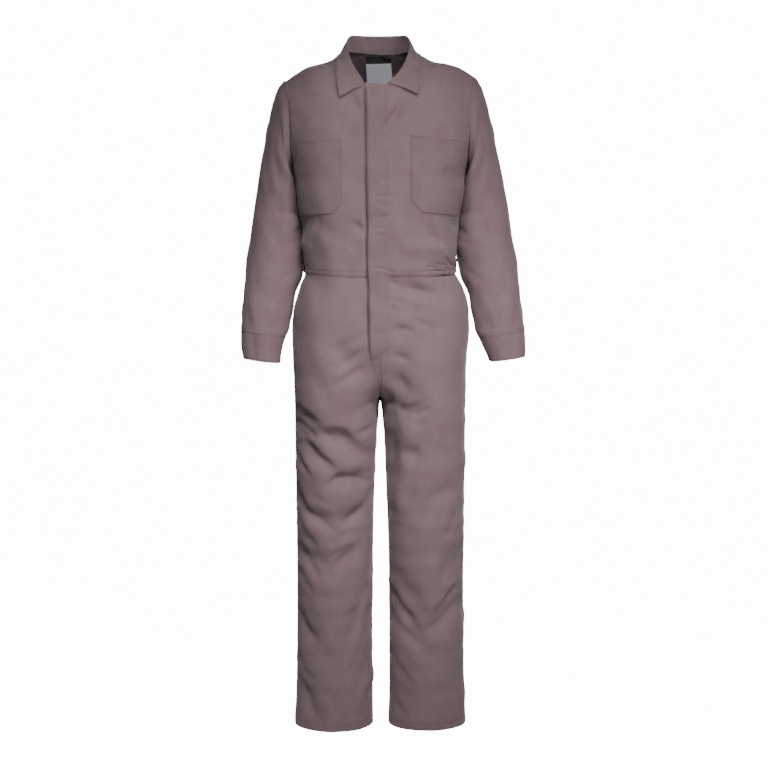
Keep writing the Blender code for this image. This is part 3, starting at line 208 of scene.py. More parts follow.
# Creases, in millimetres: x and z of the start, of the bend and of the end, width on the steep side
# and on the soft side, and depth, minus for a trough and plus for a ridge.  The steep side is on the
# left of the way from start to end.
FRONT_CREASES = (
    # chest
    (-62, -115, -44, -132, -31, -159, 5, 10, -1.4),
    (9, -190, 25, -150, 50, -119, 5, 12, -4.2),
    (154, -270, 169, -288, 181, -315, 8, 14, -1.5),
    (-164, -448, -150, -432, -146, -384, 4, 9, -1.6),
    (-172, -382, -176, -409, -168, -440, 4, 8, -1.8),
    (-160, -425, -163, -460, -160, -498, 16, 18, 1.9),
    (-67, -389, -45, -402, -31, -427, 8, 14, -3.4),
    (41, -443, 100, -436, 163, -459, 14, 16, 2.4),
    # pulls towards the elastic at the wearer's left
    (112.5, -419.5, 140, -428, 160, -460, 5, 11, -2.6),
    (146, -408, 151, -425, 157, -444, 3, 5, 1),
    (169, -386, 174, -400, 175, -418, 4, 8, -1.8),
    (150, -474, 160, -484, 176, -493, 3, 5, -2.6),
    (108, -491.5, 140, -491.5, 178, -489.5, 2.4, 3, -1.7),
    (103, -499, 138, -497.8, 178, -495.8, 2.4, 3, -2),
    (118, -505.5, 145, -504.7, 178, -502.7, 2.4, 3, -2),
    (120, -517, 145, -515, 174, -513, 3, 4, -1),
    # waist and hips
    (16, -527, 28, -531, 41, -529, 3, 5, -2.2),
    (28, -536, 91, -540, 160, -567, 10, 14, -4.6),
    (21, -567, 41, -565, 62, -577, 4, 7, -1.4),
    (21, -588, 41, -586, 62, -595, 4, 7, -1.3),
    (30, -631, 55, -629, 85, -643, 6, 10, -2.6),
    (60, -617, 101, -617, 142, -633, 7, 12, -1.8),
    (25, -695, 48, -695, 76, -711, 6, 10, -2.2),
    (-137, -693, -77, -668, -27, -640, 8, 14, -1.6),
    (-119, -723, -68, -704, -23, -679, 8, 12, -2.6),
    # the leg at -X
    (-116, -757, -64, -741, -18, -711, 9, 14, -2.2),
    (-153, -776, -91, -760, -41, -730, 9, 14, -1.6),
    (-191, -812, -173, -844, -133, -851, 7, 12, -3),
    (-196, -849, -180, -879, -152, -884, 7, 11, -3.6),
    (-140, -880, -68, -848, -30, -942, 8, 24, -5.8),
    (-57, -881, -34, -872, -14, -856, 6, 10, -2.6),
    (-189, -898, -143, -916, -97, -968, 8, 14, -4.8),
    (-194, -930, -182, -961, -159, -977, 6, 10, -3.4),
    (-128, -1010, -71, -942, -14, -1008, 5, 14, -4.8),
    (-195, -1002, -188, -1039, -163, -1072, 7, 11, -3.4),
    (-181, -1053, -144, -1096, -95, -1105, 8, 14, -3.6),
    (-91, -1098, -44, -1075, -16, -1011, 8, 13, -3.6),
    (-121, -1138, -81, -1101, -28, -1117, 8, 14, -3),
    (-197, -1072, -181, -1122, -142, -1152, 8, 12, -3.6),
    (-193, -1143, -179, -1195, -138, -1219, 8, 13, -3.6),
    (-135, -1219, -91, -1190, -35, -1124, 9, 14, -3),
    (-191, -1204, -177, -1240, -152, -1252, 7, 11, -2.4),
    (-76, -1441, -53, -1343, -17, -1221, 8, 11, 3.4),
    (-194, -1278, -185, -1331, -155, -1374, 8, 13, -3),
    (-193, -1410, -177, -1453, -148, -1472, 7, 11, -2.4),
    (-195, -1463, -177, -1516, -151, -1559, 8, 13, -2.4),
    (-64, -1552, -45, -1496, -19, -1434, 9, 12, 2.2),
    (-196, -868, -186, -889, -168, -897, 5, 8, -1.8),
    (-150, -905, -120, -915, -90, -938, 5, 9, -1.2),
    (-60, -955, -40, -975, -18, -980, 5, 8, -1.4),
    (-160, -1020, -130, -1045, -96, -1052, 5, 9, -1.4),
    (-120, -1170, -90, -1150, -60, -1148, 5, 9, -1.2),
    (-196, -1300, -180, -1345, -150, -1365, 5, 8, -1.2),
    (-110, -1330, -70, -1300, -30, -1290, 6, 10, -1),
    (-60, -1500, -40, -1440, -20, -1370, 6, 10, -1.4),
    # the leg at +X
    (10, -797, 32, -790, 58, -803, 20, 12, -3.6),
    (40, -829, 65, -811, 99, -805, 9, 13, -2),
    (76, -835, 92, -828, 113, -819, 5, 8, -2.4),
    (34, -1100, 48, -950, 47, -845, 14, 22, 4.4),
    (18, -1080, 20, -950, 18, -800, 12, 12, -2.6),
    (56, -933, 81, -919, 109, -893, 9, 14, -1.7),
    (55, -865, 88, -849, 125, -849, 8, 14, -1.8),
    (147, -1126, 158, -1103, 170, -1070, 7, 11, -2.4),
    (19, -1247, 40, -1300, 84, -1333, 8, 16, -5.2),
    (19, -1297, 49, -1359, 103, -1383, 9, 16, -4),
    (163, -1238, 175, -1214, 184, -1176, 7, 11, -2.4),
    (122, -1295, 171, -1285, 192, -1207, 8, 14, -3.4),
    (99, -1343, 157, -1326, 192, -1273, 9, 15, -2.8),
    (19, -1395, 49, -1448, 87, -1479, 9, 14, -2.4),
    (28, -1504, 47, -1535, 73, -1557, 9, 13, -1.8),
)
# Pulls across the row of stitching that holds the fly: z at the three places, and depth.
FLY_PULLS = (
    (-336.4, -332.5, -332.8, -1),
    (-349.8, -352.1, -358.1, -0.8),
    (-386.1, -379.3, -377, -1),
    (-422.7, -418.3, -418.2, -0.9),
    (-402.6, -403.5, -408.2, -0.6),
    (-302.2, -296.9, -295.9, -0.6),
    (-493.8, -499.5, -508.6, -1.6),
    (-508.1, -513.3, -522, -0.9),
    (-563.5, -556, -553, -0.6),
    (-606.5, -611, -619, -0.6),
    (-649.2, -640.5, -636.4, -0.7),
)
FLY_PULL_PLACES = (-14, 10, 32)                # x of the start, the bend and the end
FLY_PULL_WIDTHS = (2.5, 4.5)
# The back hangs with creases of the same kind: across the shoulder blades, over the elastic, under
# the seat and behind the knees.
BACK_CREASES = (
    (-150, -170, -110, -205, -60, -215, 10, 16, -2.6),
    (60, -225, 115, -210, 158, -170, 10, 16, -2.4),
    (-185, -300, -150, -345, -95, -360, 9, 15, -3.4),
    (85, -372, 140, -350, 182, -300, 9, 15, -3.6),
    (-150, -415, -70, -435, 20, -428, 10, 16, -4),
    (-10, -450, 70, -452, 150, -425, 9, 15, -3.6),
    (-172, -452, -120, -468, -60, -462, 7, 12, -2.6),
    (-170, -600, -130, -650, -80, -670, 12, 18, -2.4),
    (75, -680, 130, -660, 172, -610, 12, 18, -2.6),
    (-165, -770, -100, -812, -22, -790, 9, 16, -5),
    (22, -795, 95, -822, 165, -775, 9, 16, -5.2),
    (-175, -830, -120, -868, -50, -865, 8, 14, -3.6),
    (45, -868, 115, -880, 172, -835, 8, 14, -3.4),
    (-150, -915, -100, -948, -40, -930, 9, 15, -3),
    (50, -945, 110, -955, 165, -905, 9, 15, -3),
    (-185, -1020, -130, -1062, -60, -1060, 8, 14, -4),
    (40, -1045, 110, -1078, 182, -1030, 8, 14, -4.2),
    (-160, -1098, -95, -1130, -30, -1098, 8, 15, -4.4),
    (60, -1125, 120, -1140, 175, -1095, 8, 15, -4),
    (-188, -1150, -140, -1190, -85, -1190, 8, 14, -3.2),
    (40, -1170, 90, -1210, 160, -1185, 8, 14, -3.2),
    (-188, -1260, -165, -1320, -110, -1350, 9, 15, -3),
    (110, -1345, 165, -1320, 190, -1250, 9, 15, -3),
    (-115, -1420, -80, -1360, -30, -1290, 9, 15, -2.6),
    (35, -1300, 80, -1380, 120, -1430, 9, 15, -2.8),
    (-185, -1440, -160, -1500, -120, -1540, 9, 14, -2.2),
    (130, -1540, 165, -1500, 188, -1440, 9, 14, -2.2),
)
# Sleeves, in metres: angle round the sleeve in degrees, 0 outside and 90 in front, and share of its
# length, at the start and at the end of a crease, then its width and its depth.
SLEEVE_CREASES = (
    (100.0, 0.02, 150.0, 0.20, 0.012, -0.0030),
    (60.0, 0.03, 110.0, 0.16, 0.014, -0.0018),
    (170.0, 0.36, 80.0, 0.44, 0.011, -0.0036),
    (190.0, 0.42, 120.0, 0.52, 0.010, -0.0040),
    (175.0, 0.50, 85.0, 0.60, 0.011, -0.0030),
    (200.0, 0.56, 150.0, 0.64, 0.010, -0.0032),
    (165.0, 0.66, 100.0, 0.76, 0.011, -0.0022),
    (150.0, 0.92, 70.0, 0.80, 0.010, -0.0026),
    (60.0, 0.98, 40.0, 0.86, 0.009, -0.0022),
    (100.0, 0.99, 95.0, 0.88, 0.008, -0.0020),
    (20.0, 0.99, 10.0, 0.90, 0.009, -0.0018),
    (20.0, 0.10, 35.0, 0.70, 0.020, 0.0020),
    (250.0, 0.04, 215.0, 0.18, 0.013, -0.0028),
    (300.0, 0.05, 265.0, 0.22, 0.014, -0.0022),
    (200.0, 0.30, 285.0, 0.42, 0.012, -0.0030),
    (205.0, 0.46, 300.0, 0.52, 0.012, -0.0036),
    (215.0, 0.62, 290.0, 0.70, 0.012, -0.0024),
    (240.0, 0.99, 250.0, 0.86, 0.009, -0.0024),
    (290.0, 0.99, 285.0, 0.88, 0.009, -0.0022),
    (330.0, 0.99, 320.0, 0.89, 0.009, -0.0018),
)

# Pieces that lie on the panels, at the sizes of their solids.
FLY_LEVELS = (-0.0866, -0.522, -0.704)         # z at the neck, the waist and the foot
FLY_FREE_EDGE = (-0.0315, -0.0270, -0.0225)    # x at those levels
FLY_SEWN_EDGE = (0.0165, 0.0190, 0.0200)
FLY_TOP_OF_PANEL = -0.0925     # the flap stands up over the panel's edge from here
FLY_TOP_LEAN = 0.30
CHEST_POCKETS = {              # x of the inner edge, top z at both edges, bottom z, outer edge x
    "right": dict(x_inner=-0.0855, z_top_inner=-0.2095, z_top_outer=-0.2150, z_bottom_inner=-0.3740,
                  z_bottom_outer=-0.3830, x_outer_top=-0.1960, x_outer_bottom=-0.1835, chamfer=0.020),
    "left": dict(x_inner=0.0700, z_top_inner=-0.2015, z_top_outer=-0.2130, z_bottom_inner=-0.3720,
                 z_bottom_outer=-0.3810, x_outer_top=0.1960, x_outer_bottom=0.1825, chamfer=0.026),
}
WAIST_LEVEL = -0.522
ELASTIC_HEIGHT = 0.035         # gathered band above the waist seam, round the back
ELASTIC_RISE = 0.003           # height of its lower edge over the waist seam
MOUTH_TOP = -0.562             # opening of the side pockets
MOUTH_FOOT = -0.702
MOUTH_WIDTH = 0.011
FACING_REACH = 0.17            # share of the panel's width that the pocket facing covers
FACING_LAP = 0.012             # how far the facing runs past the ends of the mouth
FACING_DEPTH = 0.0060
NAPE_Y = 0.088                 # where the labels hang
LABEL_HALF_WIDTH = 0.0300
LABEL_LEAN = 0.05
LABEL_TILT = {"neck_label": 0.0, "care_label": 0.06}
LABEL_LEVELS = {"neck_label": (-0.0030, -0.0185), "care_label": (-0.0195, -0.0690)}
LABEL_WALL = 0.0005
LABEL_CLEARANCE, LABEL_REACH = 0.0024, 0.03    # from the lining, and how near it is looked for
ZIP_HALF_WIDTH = 0.014
ZIP_DEPTH = 0.0022             # of the tape under the outer face of the fronts
ZIP_WALL = 0.0007

# Tape inside the middle seam of the legs, behind the sewing, in the twill darkened as painted shade so that
# it shows dark between the legs.
SEAT_TAPE_TOP, SEAT_TAPE_FOOT = -0.690, -0.8235
SEAT_TAPE_WIDTH = 0.014
SEAT_TAPE_DEPTH = 0.0052

# How the worn cloth stands off its sections, by side.
HEM_DROP = {-1.0: 0.0065, 1.0: 0.0036}         # the hems hang lower than their solids
EDGE_OUT = 0.0013              # both edges of a leg stand this far out
LEFT_HIP_OUT, LEFT_HIP_LEVEL, LEFT_HIP_SPREAD = 0.0035, -0.62, 0.09
LEFT_KNEE_IN, LEFT_KNEE_LEVEL, LEFT_KNEE_SPREAD = 0.0022, -0.98, 0.12
RIGHT_HIP_IN, RIGHT_HIP_LEVEL, RIGHT_HIP_SPREAD = 0.0050, -0.545, 0.035
LEFT_SHOULDER_RISE, LEFT_SHOULDER_X, LEFT_SHOULDER_SPREAD = 0.0085, 0.19, 0.06

# The cloth of the scene.
CLOTH = 0.0008                 # one layer, with its nap
CELL = 0.0040                  # cells of the cloth
FINE_CELL = 0.0031
COARSE_CELL = 0.0048
SEAM_RADIUS = 0.0009           # round of an edge that is turned in at a seam
SEAM_GAP = 0.00006
LEAST_REACH = 0.0002
ALLOWANCE = (0.0015, 0.0045)   # depths of the turned-in edge
TURNED_STEP = 0.0012           # of the weave from row to row of a turned-in edge
SHARP_ANGLE = 48.0             # degrees between faces that are shaded apart
PATCH_WALL = 0.0009            # of the pieces that lie on the panels
HEM_TURN = 0.022
CUFF_TURN = 0.058
LAYER_GAP = 0.0004
NEAR_SEAM = (0.0012, 0.0030, 0.0055, 0.0085, 0.0120)
NEAR_HEM = (0.0010, 0.0025, 0.0050, 0.0080, 0.0115)
NEAR_EDGE = (0.0, 0.0020, 0.0045, 0.0080, 0.0120)
PUCKER_REACH = 0.008
PUCKER_DEPTH = 0.0005
FOLD_FADE = 0.12               # share of a panel's width over which folds fade out at a seam
CREASE_FADE = 0.04
CREASE_STRENGTH = {"front": 1.75, "back": 1.25}
TUCK_DEPTH, TUCK_WIDTH = 0.0062, 0.0044        # the valley beside the free edge of the fly
TUG_DEPTH, TUG_WIDTH = 0.0007, 0.007           # the pulls along its sewn edge
GATHER_HEIGHT, GATHER_PITCH = 0.0017, 0.019    # the folds that the elastic draws in


def named_columns(names, rows):
    """A table as one array for each named column."""
    return {name: np.array(column) for name, column in zip(names, zip(*rows))}


def leg_table(face):
    """The leg's sections for its front or its back, in the panel's own columns."""
    leg = named_columns(LEG_COLUMN_NAMES, LEG)
    return {**leg, "y_centre": leg["y_centre_" + face], "y_mid": leg["y_mid_" + face],
            "y_side": np.zeros(len(LEG)), "fullness": np.ones(len(LEG))}


def in_metres(rows):
    return np.array(rows) / 1000.0


PANELS = {
    ("bodice", "front"): named_columns(PANEL_COLUMNS, BODICE_FRONT),
    ("bodice", "back"): named_columns(PANEL_COLUMNS, BODICE_BACK),
    ("leg", "front"): leg_table("front"),
    ("leg", "back"): leg_table("back"),
}
SLEEVE_TABLE = named_columns(SLEEVE_COLUMNS, SLEEVE)
CUFF_TABLE = named_columns(SLEEVE_COLUMNS, CUFF)
COLLAR_TABLE = named_columns(COLLAR_COLUMNS, COLLAR)
FOLDS = {"front": in_metres(FRONT_FOLDS), "back": in_metres(BACK_FOLDS)}
FLY_CREASES = [[*sum(zip(FLY_PULL_PLACES, levels), ()), *FLY_PULL_WIDTHS, depth]
               for *levels, depth in FLY_PULLS]
CREASES = {"front": in_metres([*FRONT_CREASES, *FLY_CREASES]), "back": in_metres(BACK_CREASES)}


def smooth_step(value):
    value = np.clip(value, 0.0, 1.0)
    return value * value * (3.0 - 2.0 * value)


def bell(offset, width):
    """1 where offset is 0, fading to nothing over about two widths on both sides."""
    return np.exp(-(offset / width) ** 2)


def unit(vectors):
    return vectors / np.maximum(np.linalg.norm(vectors, axis=-1, keepdims=True), 1e-12)


def monotone_slopes(column):
    """Slopes at the rows of a column that let no curve through them overshoot."""
    steps = np.diff(column)
    before, after = steps[:-1], steps[1:]
    total = np.where(before + after == 0.0, 1.0, before + after)
    inside = np.where(before * after > 0.0, 2.0 * before * after / total, 0.0)
    return np.concatenate([steps[:1], inside, steps[-1:]])


def hermite(part, start, end, leave, reach):
    """A cubic from start to end with the given slopes at its two ends."""
    cubic = 2.0 * part ** 3 - 3.0 * part ** 2 + 1.0
    return (cubic * start + (1.0 - cubic) * end
            + (part ** 3 - 2.0 * part ** 2 + part) * leave + (part ** 3 - part ** 2) * reach)


def along(column, share):
    """A column of a table read at a share of its length, on a smooth curve through its rows."""
    place = np.clip(share, 0.0, 1.0) * (len(column) - 1)
    row = np.minimum(place.astype(int), len(column) - 2)
    slope = monotone_slopes(column)
    return hermite(place - row, column[row], column[row + 1], slope[row], slope[row + 1])


def through(lines, places):
    """Lines read between a stack of lines, on smooth curves through them."""
    slope = np.gradient(lines, axis=0)
    row = np.minimum(places.astype(int), len(lines) - 2)
    part = (places - row).reshape((-1,) + (1,) * (lines.ndim - 1))
    return hermite(part, lines[row], lines[row + 1], slope[row], slope[row + 1])


def bezier(first, second, third, fourth, part):
    part = part[..., None]
    rest = 1.0 - part
    return (rest ** 3 * first + 3.0 * rest ** 2 * part * second
            + 3.0 * rest * part ** 2 * third + part ** 3 * fourth)


def corner(table, name, share):
    return np.stack([along(table[axis + name], share) for axis in ("x_", "y_", "z_")], axis=-1)


def lengths(points, axis):
    """Distances along the lines of a grid, from its first row or column."""
    steps = np.linalg.norm(np.diff(points, axis=axis), axis=-1)
    start = np.zeros_like(steps.take([0], axis=axis))
    return np.concatenate([start, np.cumsum(steps, axis=axis)], axis=axis)


def at_places(places, run, line):
    """Points of a line at distances along it, where run holds the distances of its own points."""
    return np.stack([np.interp(places, run, column) for column in line.T], axis=-1)


def evenly(line, count):
    """Points at even distances along a line."""
    run = lengths(line, 0)
    return at_places(np.linspace(0.0, run[-1], count), run, line)


def smooth_form(piece, face, side, across, up):
    """Points of a panel's outer face: across runs from centre to side, up along its rows."""
    table = PANELS[piece, face]
    across, up = np.broadcast_arrays(np.asarray(across, float), np.asarray(up, float))
    centre, middle, edge = (corner(table, name, up) for name in ("centre", "mid", "side"))
    wrap, fullness = along(table["wrap"], up), along(table["fullness"], up)
    inner, outer = middle - centre, edge - middle

    def handle(reach, by_x, by_y):
        return np.stack([by_x * ELLIPSE_HANDLE * reach[..., 0], by_y * ELLIPSE_HANDLE * reach[..., 1],
                         reach[..., 2] / 3.0], axis=-1)

    near = bezier(centre, centre + handle(inner, 1.0 - wrap, wrap), middle - handle(inner, 1.0, 0.0),
                  middle, np.clip(across / MID_SHARE, 0.0, 1.0))
    far = bezier(middle, middle + handle(outer, 1.0, 0.0), edge - handle(outer, 1.0 - fullness, fullness),
                 edge, np.clip((across - MID_SHARE) / (1.0 - MID_SHARE), 0.0, 1.0))
    points = np.where((across < MID_SHARE)[..., None], near, far)
    points[..., 0] *= side
    if piece == "bodice":
        points[..., 0] += NECK_SHIFT * smooth_step((up - 0.6) / 0.3) * (1.0 - across) ** 2
    elif side > 0:
        points[..., 0] += LEFT_LEG_INSET * smooth_step((up - 0.5) / 0.2) * (1.0 - 0.7 * across)
    return points


def fold_depth(face, points):
    """How far the folds move the cloth out at each point, seen from the front."""
    depth = np.zeros(points.shape[:-1])
    for x_start, z_start, x_end, z_end, width, height in FOLDS[face]:
        start = np.array([x_start, z_start])
        run = np.array([x_end, z_end]) - start
        offset = points[..., [0, 2]] - start
        share = np.clip(offset @ run / (run @ run), 0.0, 1.0)
        distance = np.linalg.norm(offset - share[..., None] * run, axis=-1)
        depth += height * (0.35 + 0.65 * np.sin(math.pi * share)) * bell(distance, width)
    return depth


def outward_turn(piece, face, side):
    """+1 where across times up points out of the garment, else -1."""
    return side * (1.0 if face == "front" else -1.0) * (1.0 if piece == "bodice" else -1.0)


def form_steps(piece, face, side, across, up, step):
    """How far the smooth form moves between a step back and a step on, across and up."""
    low_across, high_across = np.clip(across - step, 0, 1), np.clip(across + step, 0, 1)
    low_up, high_up = np.clip(up - step, 0, 1), np.clip(up + step, 0, 1)
    return (smooth_form(piece, face, side, high_across, up) - smooth_form(piece, face, side, low_across, up),
            smooth_form(piece, face, side, across, high_up) - smooth_form(piece, face, side, across, low_up))


def form_normals(piece, face, side, across, up):
    """Outward normals of the smooth form, square to x at the middle seams."""
    tangent, climb = form_steps(piece, face, side, across, up, 0.004)
    normals = np.cross(tangent, climb) * outward_turn(piece, face, side)
    middle_seam = up < CROTCH_SHARE if piece == "leg" else up < 2.0
    normals[..., 0] *= np.where(middle_seam, smooth_step(across / 0.08), 1.0)
    return unit(normals)


def share_at(column, level):
    """Share of a panel's length at which a column of its table reaches a level."""
    order = np.argsort(column)
    return np.interp(level, column[order], np.linspace(0.0, 1.0, len(column))[order])


def locate(piece, face, side, x, z):
    """Panel coordinates of the point seen at x and z from the front, by Newton's method."""
    table = PANELS[piece, face]
    up = share_at(table["z_mid"], z)
    across = np.abs(x) / along(table["x_side"], up)
    step = 0.002
    for _ in range(14):
        here = smooth_form(piece, face, side, across, up)
        by_across, by_up = (move / (2 * step) for move in form_steps(piece, face, side, across, up, step))
        miss_x, miss_z = x - here[..., 0], z - here[..., 2]
        spread = by_across[..., 0] * by_up[..., 2] - by_up[..., 0] * by_across[..., 2]
        spread = np.where(np.abs(spread) < 1e-6, 1e-6, spread)
        move_across = (miss_x * by_up[..., 2] - by_up[..., 0] * miss_z) / spread
        move_up = (by_across[..., 0] * miss_z - by_across[..., 2] * miss_x) / spread
        across = np.clip(across + np.clip(move_across, -0.1, 0.1), 0.0, 1.0)
        up = np.clip(up + np.clip(move_up, -0.05, 0.05), 0.0, 1.0)
    return across, up


def bezier_samples(start, bend, end, count=28):
    part = np.linspace(0.0, 1.0, count)[:, None]
    return (1.0 - part) ** 2 * start + 2.0 * part * (1.0 - part) * bend + part ** 2 * end


def crease_profile(offset, share, steep, soft, depth):
    """Height of a crease at a signed distance from its line and a share of its length."""
    centre = -0.7 * steep
    width = np.where(offset > centre, steep * 1.25, soft)
    ends = np.clip(4.0 * share * (1.0 - share), 0.0, 1.0) ** 0.6
    uneven = 1.0 + 0.22 * np.sin(share * 9.0 + depth * 9000.0)
    return depth * ends * uneven * bell(offset - centre, width)


def crease_depth(face, flat):
    """How far the creases move the cloth out at points given by x and z."""
    depth = np.zeros(flat.shape[:-1])
    bent = flat + 0.0025 * np.stack([np.sin(flat[..., 1] * 61.0 + flat[..., 0] * 23.0),
                                     np.sin(flat[..., 0] * 67.0 - flat[..., 1] * 19.0)], axis=-1)
    for row in CREASES[face]:
        corners, (steep, soft, height) = row[:6].reshape(3, 2), row[6:]
        line = bezier_samples(*corners)
        margin = 3.0 * max(steep, soft)
        near = ((bent > line.min(axis=0) - margin) & (bent < line.max(axis=0) + margin)).all(axis=-1)
        if not near.any():
            continue
        points = bent[near]
        closest = np.linalg.norm(points[:, None, :] - line[None, :, :], axis=-1).argmin(axis=1)
        run = unit(np.gradient(line, axis=0)[closest])
        away = points - line[closest]
        sideways = run[:, 0] * away[:, 1] - run[:, 1] * away[:, 0]
        beyond = run[:, 0] * away[:, 0] + run[:, 1] * away[:, 1]
        past_end = np.where((closest == 0) | (closest == len(line) - 1), np.abs(beyond), 0.0)
        share = closest / (len(line) - 1.0)
        share = np.clip(share + beyond / (2.0 * np.linalg.norm(corners[2] - corners[0])), 0.0, 1.0)
        height = height * CREASE_STRENGTH[face]
        depth[near] += crease_profile(sideways, share, steep, soft, height) * bell(past_end, soft)
    return depth


def undulations(seed, count=18, shortest=0.034, longest=0.130, height=0.00022):
    """Directions, phases and heights of the slow waves that no worn cloth is without."""
    random = np.random.default_rng(seed)
    angle = random.uniform(0.0, math.pi, count)
    length = random.uniform(shortest, longest, count)
    return np.stack([np.cos(angle) * 2.0 * math.pi / length, np.sin(angle) * 2.0 * math.pi / length,
                     random.uniform(0.0, 2.0 * math.pi, count), height * (length / shortest) ** 0.7], axis=1)


def wavy(flat, waves):
    total = np.zeros(flat.shape[:-1])
    for by_x, by_z, phase, height in waves:
        total += height * np.sin(flat[..., 0] * by_x + flat[..., 1] * by_z + phase)
    return total


WAVES = {"front": undulations(11), "back": undulations(12), "sleeve": undulations(13)}
PUCKERS = undulations(21, count=12, shortest=0.007, longest=0.016, height=0.5)


def puckers(run):
    """A number from about -1 to 1 along a seam, with the uneven rhythm of sewn cloth."""
    return np.clip(wavy(np.stack([run, 0.3 * run], axis=-1), PUCKERS) / 1.6, -1.0, 1.0)


def seam_pull(run, gap):
    """How hard a seam pulls at the cloth, by the distances along it and from it."""
    return (0.55 + 0.45 * puckers(run)) * np.exp(-(gap / PUCKER_REACH) ** 1.5)


def fly_edge(edge, z):
    """x of an edge of the fly at each level."""
    return np.interp(-z, [-level for level in FLY_LEVELS], edge)


def tucked_by_fly(points):
    """The valley in which the cloth turns under the free edge of the fly."""
    z = points[..., 2]
    inside = smooth_step((FLY_LEVELS[0] - 0.004 - z) / 0.03) * smooth_step((z - FLY_LEVELS[2] - 0.004) / 0.05)
    uneven = 1.0 + 0.25 * np.sin(z * 29.0) + 0.15 * np.sin(z * 71.0 + 1.0)
    beside = points[..., 0] - (fly_edge(FLY_FREE_EDGE, z) - TUCK_WIDTH / 2.0)
    return -TUCK_DEPTH * bell(beside, TUCK_WIDTH) * inside * uneven


def tugged_by_seam(points):
    """The small pulls on both sides of the line along which the fly is sewn down."""
    z = points[..., 2]
    offset = points[..., 0] - fly_edge(FLY_SEWN_EDGE, z)
    rhythm = puckers(z + 0.15 * offset + 0.11)
    ends = smooth_step((z - FLY_LEVELS[2]) / 0.02)
    return -TUG_DEPTH * (0.4 + 0.6 * rhythm) * bell(offset, TUG_WIDTH) * ends


def gathers(face, side, across, points):
    """The small upright folds that the elastic draws into the back of the waist."""
    if face == "front":
        draw = smooth_step((points[..., 0] - 0.095) / 0.05) * 0.6
    else:
        draw = smooth_step((1.0 - across) / 0.10) * 0.55 + 0.45
    over_waist = points[..., 2] - WAIST_LEVEL
    rise = bell(over_waist, np.where(over_waist > 0.0, 0.050, 0.038))
    run = side * across * 0.28 + 0.010 * np.sin(points[..., 2] * 55.0)
    folds = np.sin(run * TURN / GATHER_PITCH + 2.0 * np.sin(run * 47.0)) * (0.7 + 0.3 * np.sin(run * 31.0))
    return GATHER_HEIGHT * draw * rise * folds


def settled_form(piece, face, side, across, up):
    """The smooth form, with the small moves of the worn cloth that make its two sides unlike."""
    across, up = np.broadcast_arrays(np.asarray(across, float), np.asarray(up, float))
    moved = smooth_form(piece, face, side, across, up).copy()
    if piece == "leg":
        level = moved[..., 2].copy()
        parted = smooth_step((up - CROTCH_SHARE) / 0.05)
        moved[..., 0] += side * EDGE_OUT * smooth_step(up / 0.04) * (across - parted * (1.0 - across))
        moved[..., 2] -= HEM_DROP[side] * smooth_step((up - 0.8) / 0.2)
        if side > 0.0:
            moved[..., 0] += LEFT_HIP_OUT * across * bell(level - LEFT_HIP_LEVEL, LEFT_HIP_SPREAD)
            drawn_in = parted * bell(level - LEFT_KNEE_LEVEL, LEFT_KNEE_SPREAD)
            moved[..., 0] -= LEFT_KNEE_IN * (1.0 - across) * drawn_in
        else:
            drawn_in = bell(level - RIGHT_HIP_LEVEL, RIGHT_HIP_SPREAD) * smooth_step(up / 0.015)
            moved[..., 0] += RIGHT_HIP_IN * across * drawn_in
    elif side > 0.0:
        rise = bell(moved[..., 0] - LEFT_SHOULDER_X, LEFT_SHOULDER_SPREAD) * smooth_step((up - 0.75) / 0.25)
        moved[..., 2] += LEFT_SHOULDER_RISE * rise
    return moved


def clear_of_seams(piece, across, up, reach):
    """1 over a panel, falling to 0 at the side seam and at the inside of the leg."""
    clear = smooth_step((1.0 - across) / reach)
    if piece == "leg":
        clear = clear * np.where(up > 0.5, smooth_step(across / reach), 1.0)
    return clear


def cloth_form(piece, face, side, across, up):
    """The panel's outer face with its folds, creases and slow waves."""
    across, up = np.broadcast_arrays(np.asarray(across, float), np.asarray(up, float))
    points = settled_form(piece, face, side, across, up)
    normals = form_normals(piece, face, side, across, up)
    if piece == "leg":
        sewn = smooth_step((CROTCH_SHARE - up) * (len(LEG) - 1) / 0.35) * (1.0 - smooth_step(across / 0.16))
        normals = normals * np.stack([1.0 - sewn, np.ones_like(sewn), np.ones_like(sewn)], axis=-1)
    flat = points[..., [0, 2]]
    small = crease_depth(face, flat) + wavy(flat, WAVES[face]) + gathers(face, side, across, points)
    depth = (fold_depth(face, points) * clear_of_seams(piece, across, up, FOLD_FADE)
             + small * clear_of_seams(piece, across, up, CREASE_FADE))
    if face == "front":
        depth = depth + tucked_by_fly(points) + tugged_by_seam(points)
    return points + normals * depth[..., None]


def spaced(length, cells, near_start, near_end):
    """Distances along a line, close together near its two edges."""
    middle = np.linspace(near_start[-1], length - near_end[-1], cells + 1)
    return np.concatenate([near_start[:-1], middle, length - np.array(near_end[:-1])[::-1]])


def panel_rows(piece, face, near_start, near_end, stops=(), cell=CELL):
    """Shares of a panel's rows, at even distances along its middle, with rows at the given shares."""
    shares = np.linspace(0.0, 1.0, 400)
    line = smooth_form(piece, face, 1.0, MID_SHARE, shares)
    run = lengths(line, 0)
    places = [0.0, *(np.interp(stop, shares, run) for stop in stops), run[-1]]
    rows = []
    for number, (low, high) in enumerate(zip(places[:-1], places[1:])):
        start = near_start if number == 0 else (0.0,)
        end = near_end if number == len(places) - 2 else (0.0,)
        cells = max(2, int(round((high - low - start[-1] - end[-1]) / cell)))
        rows.append(low + spaced(high - low, cells, start, end)[(1 if number else 0):])
    distances = np.concatenate(rows)
    return np.interp(distances, run, shares), distances


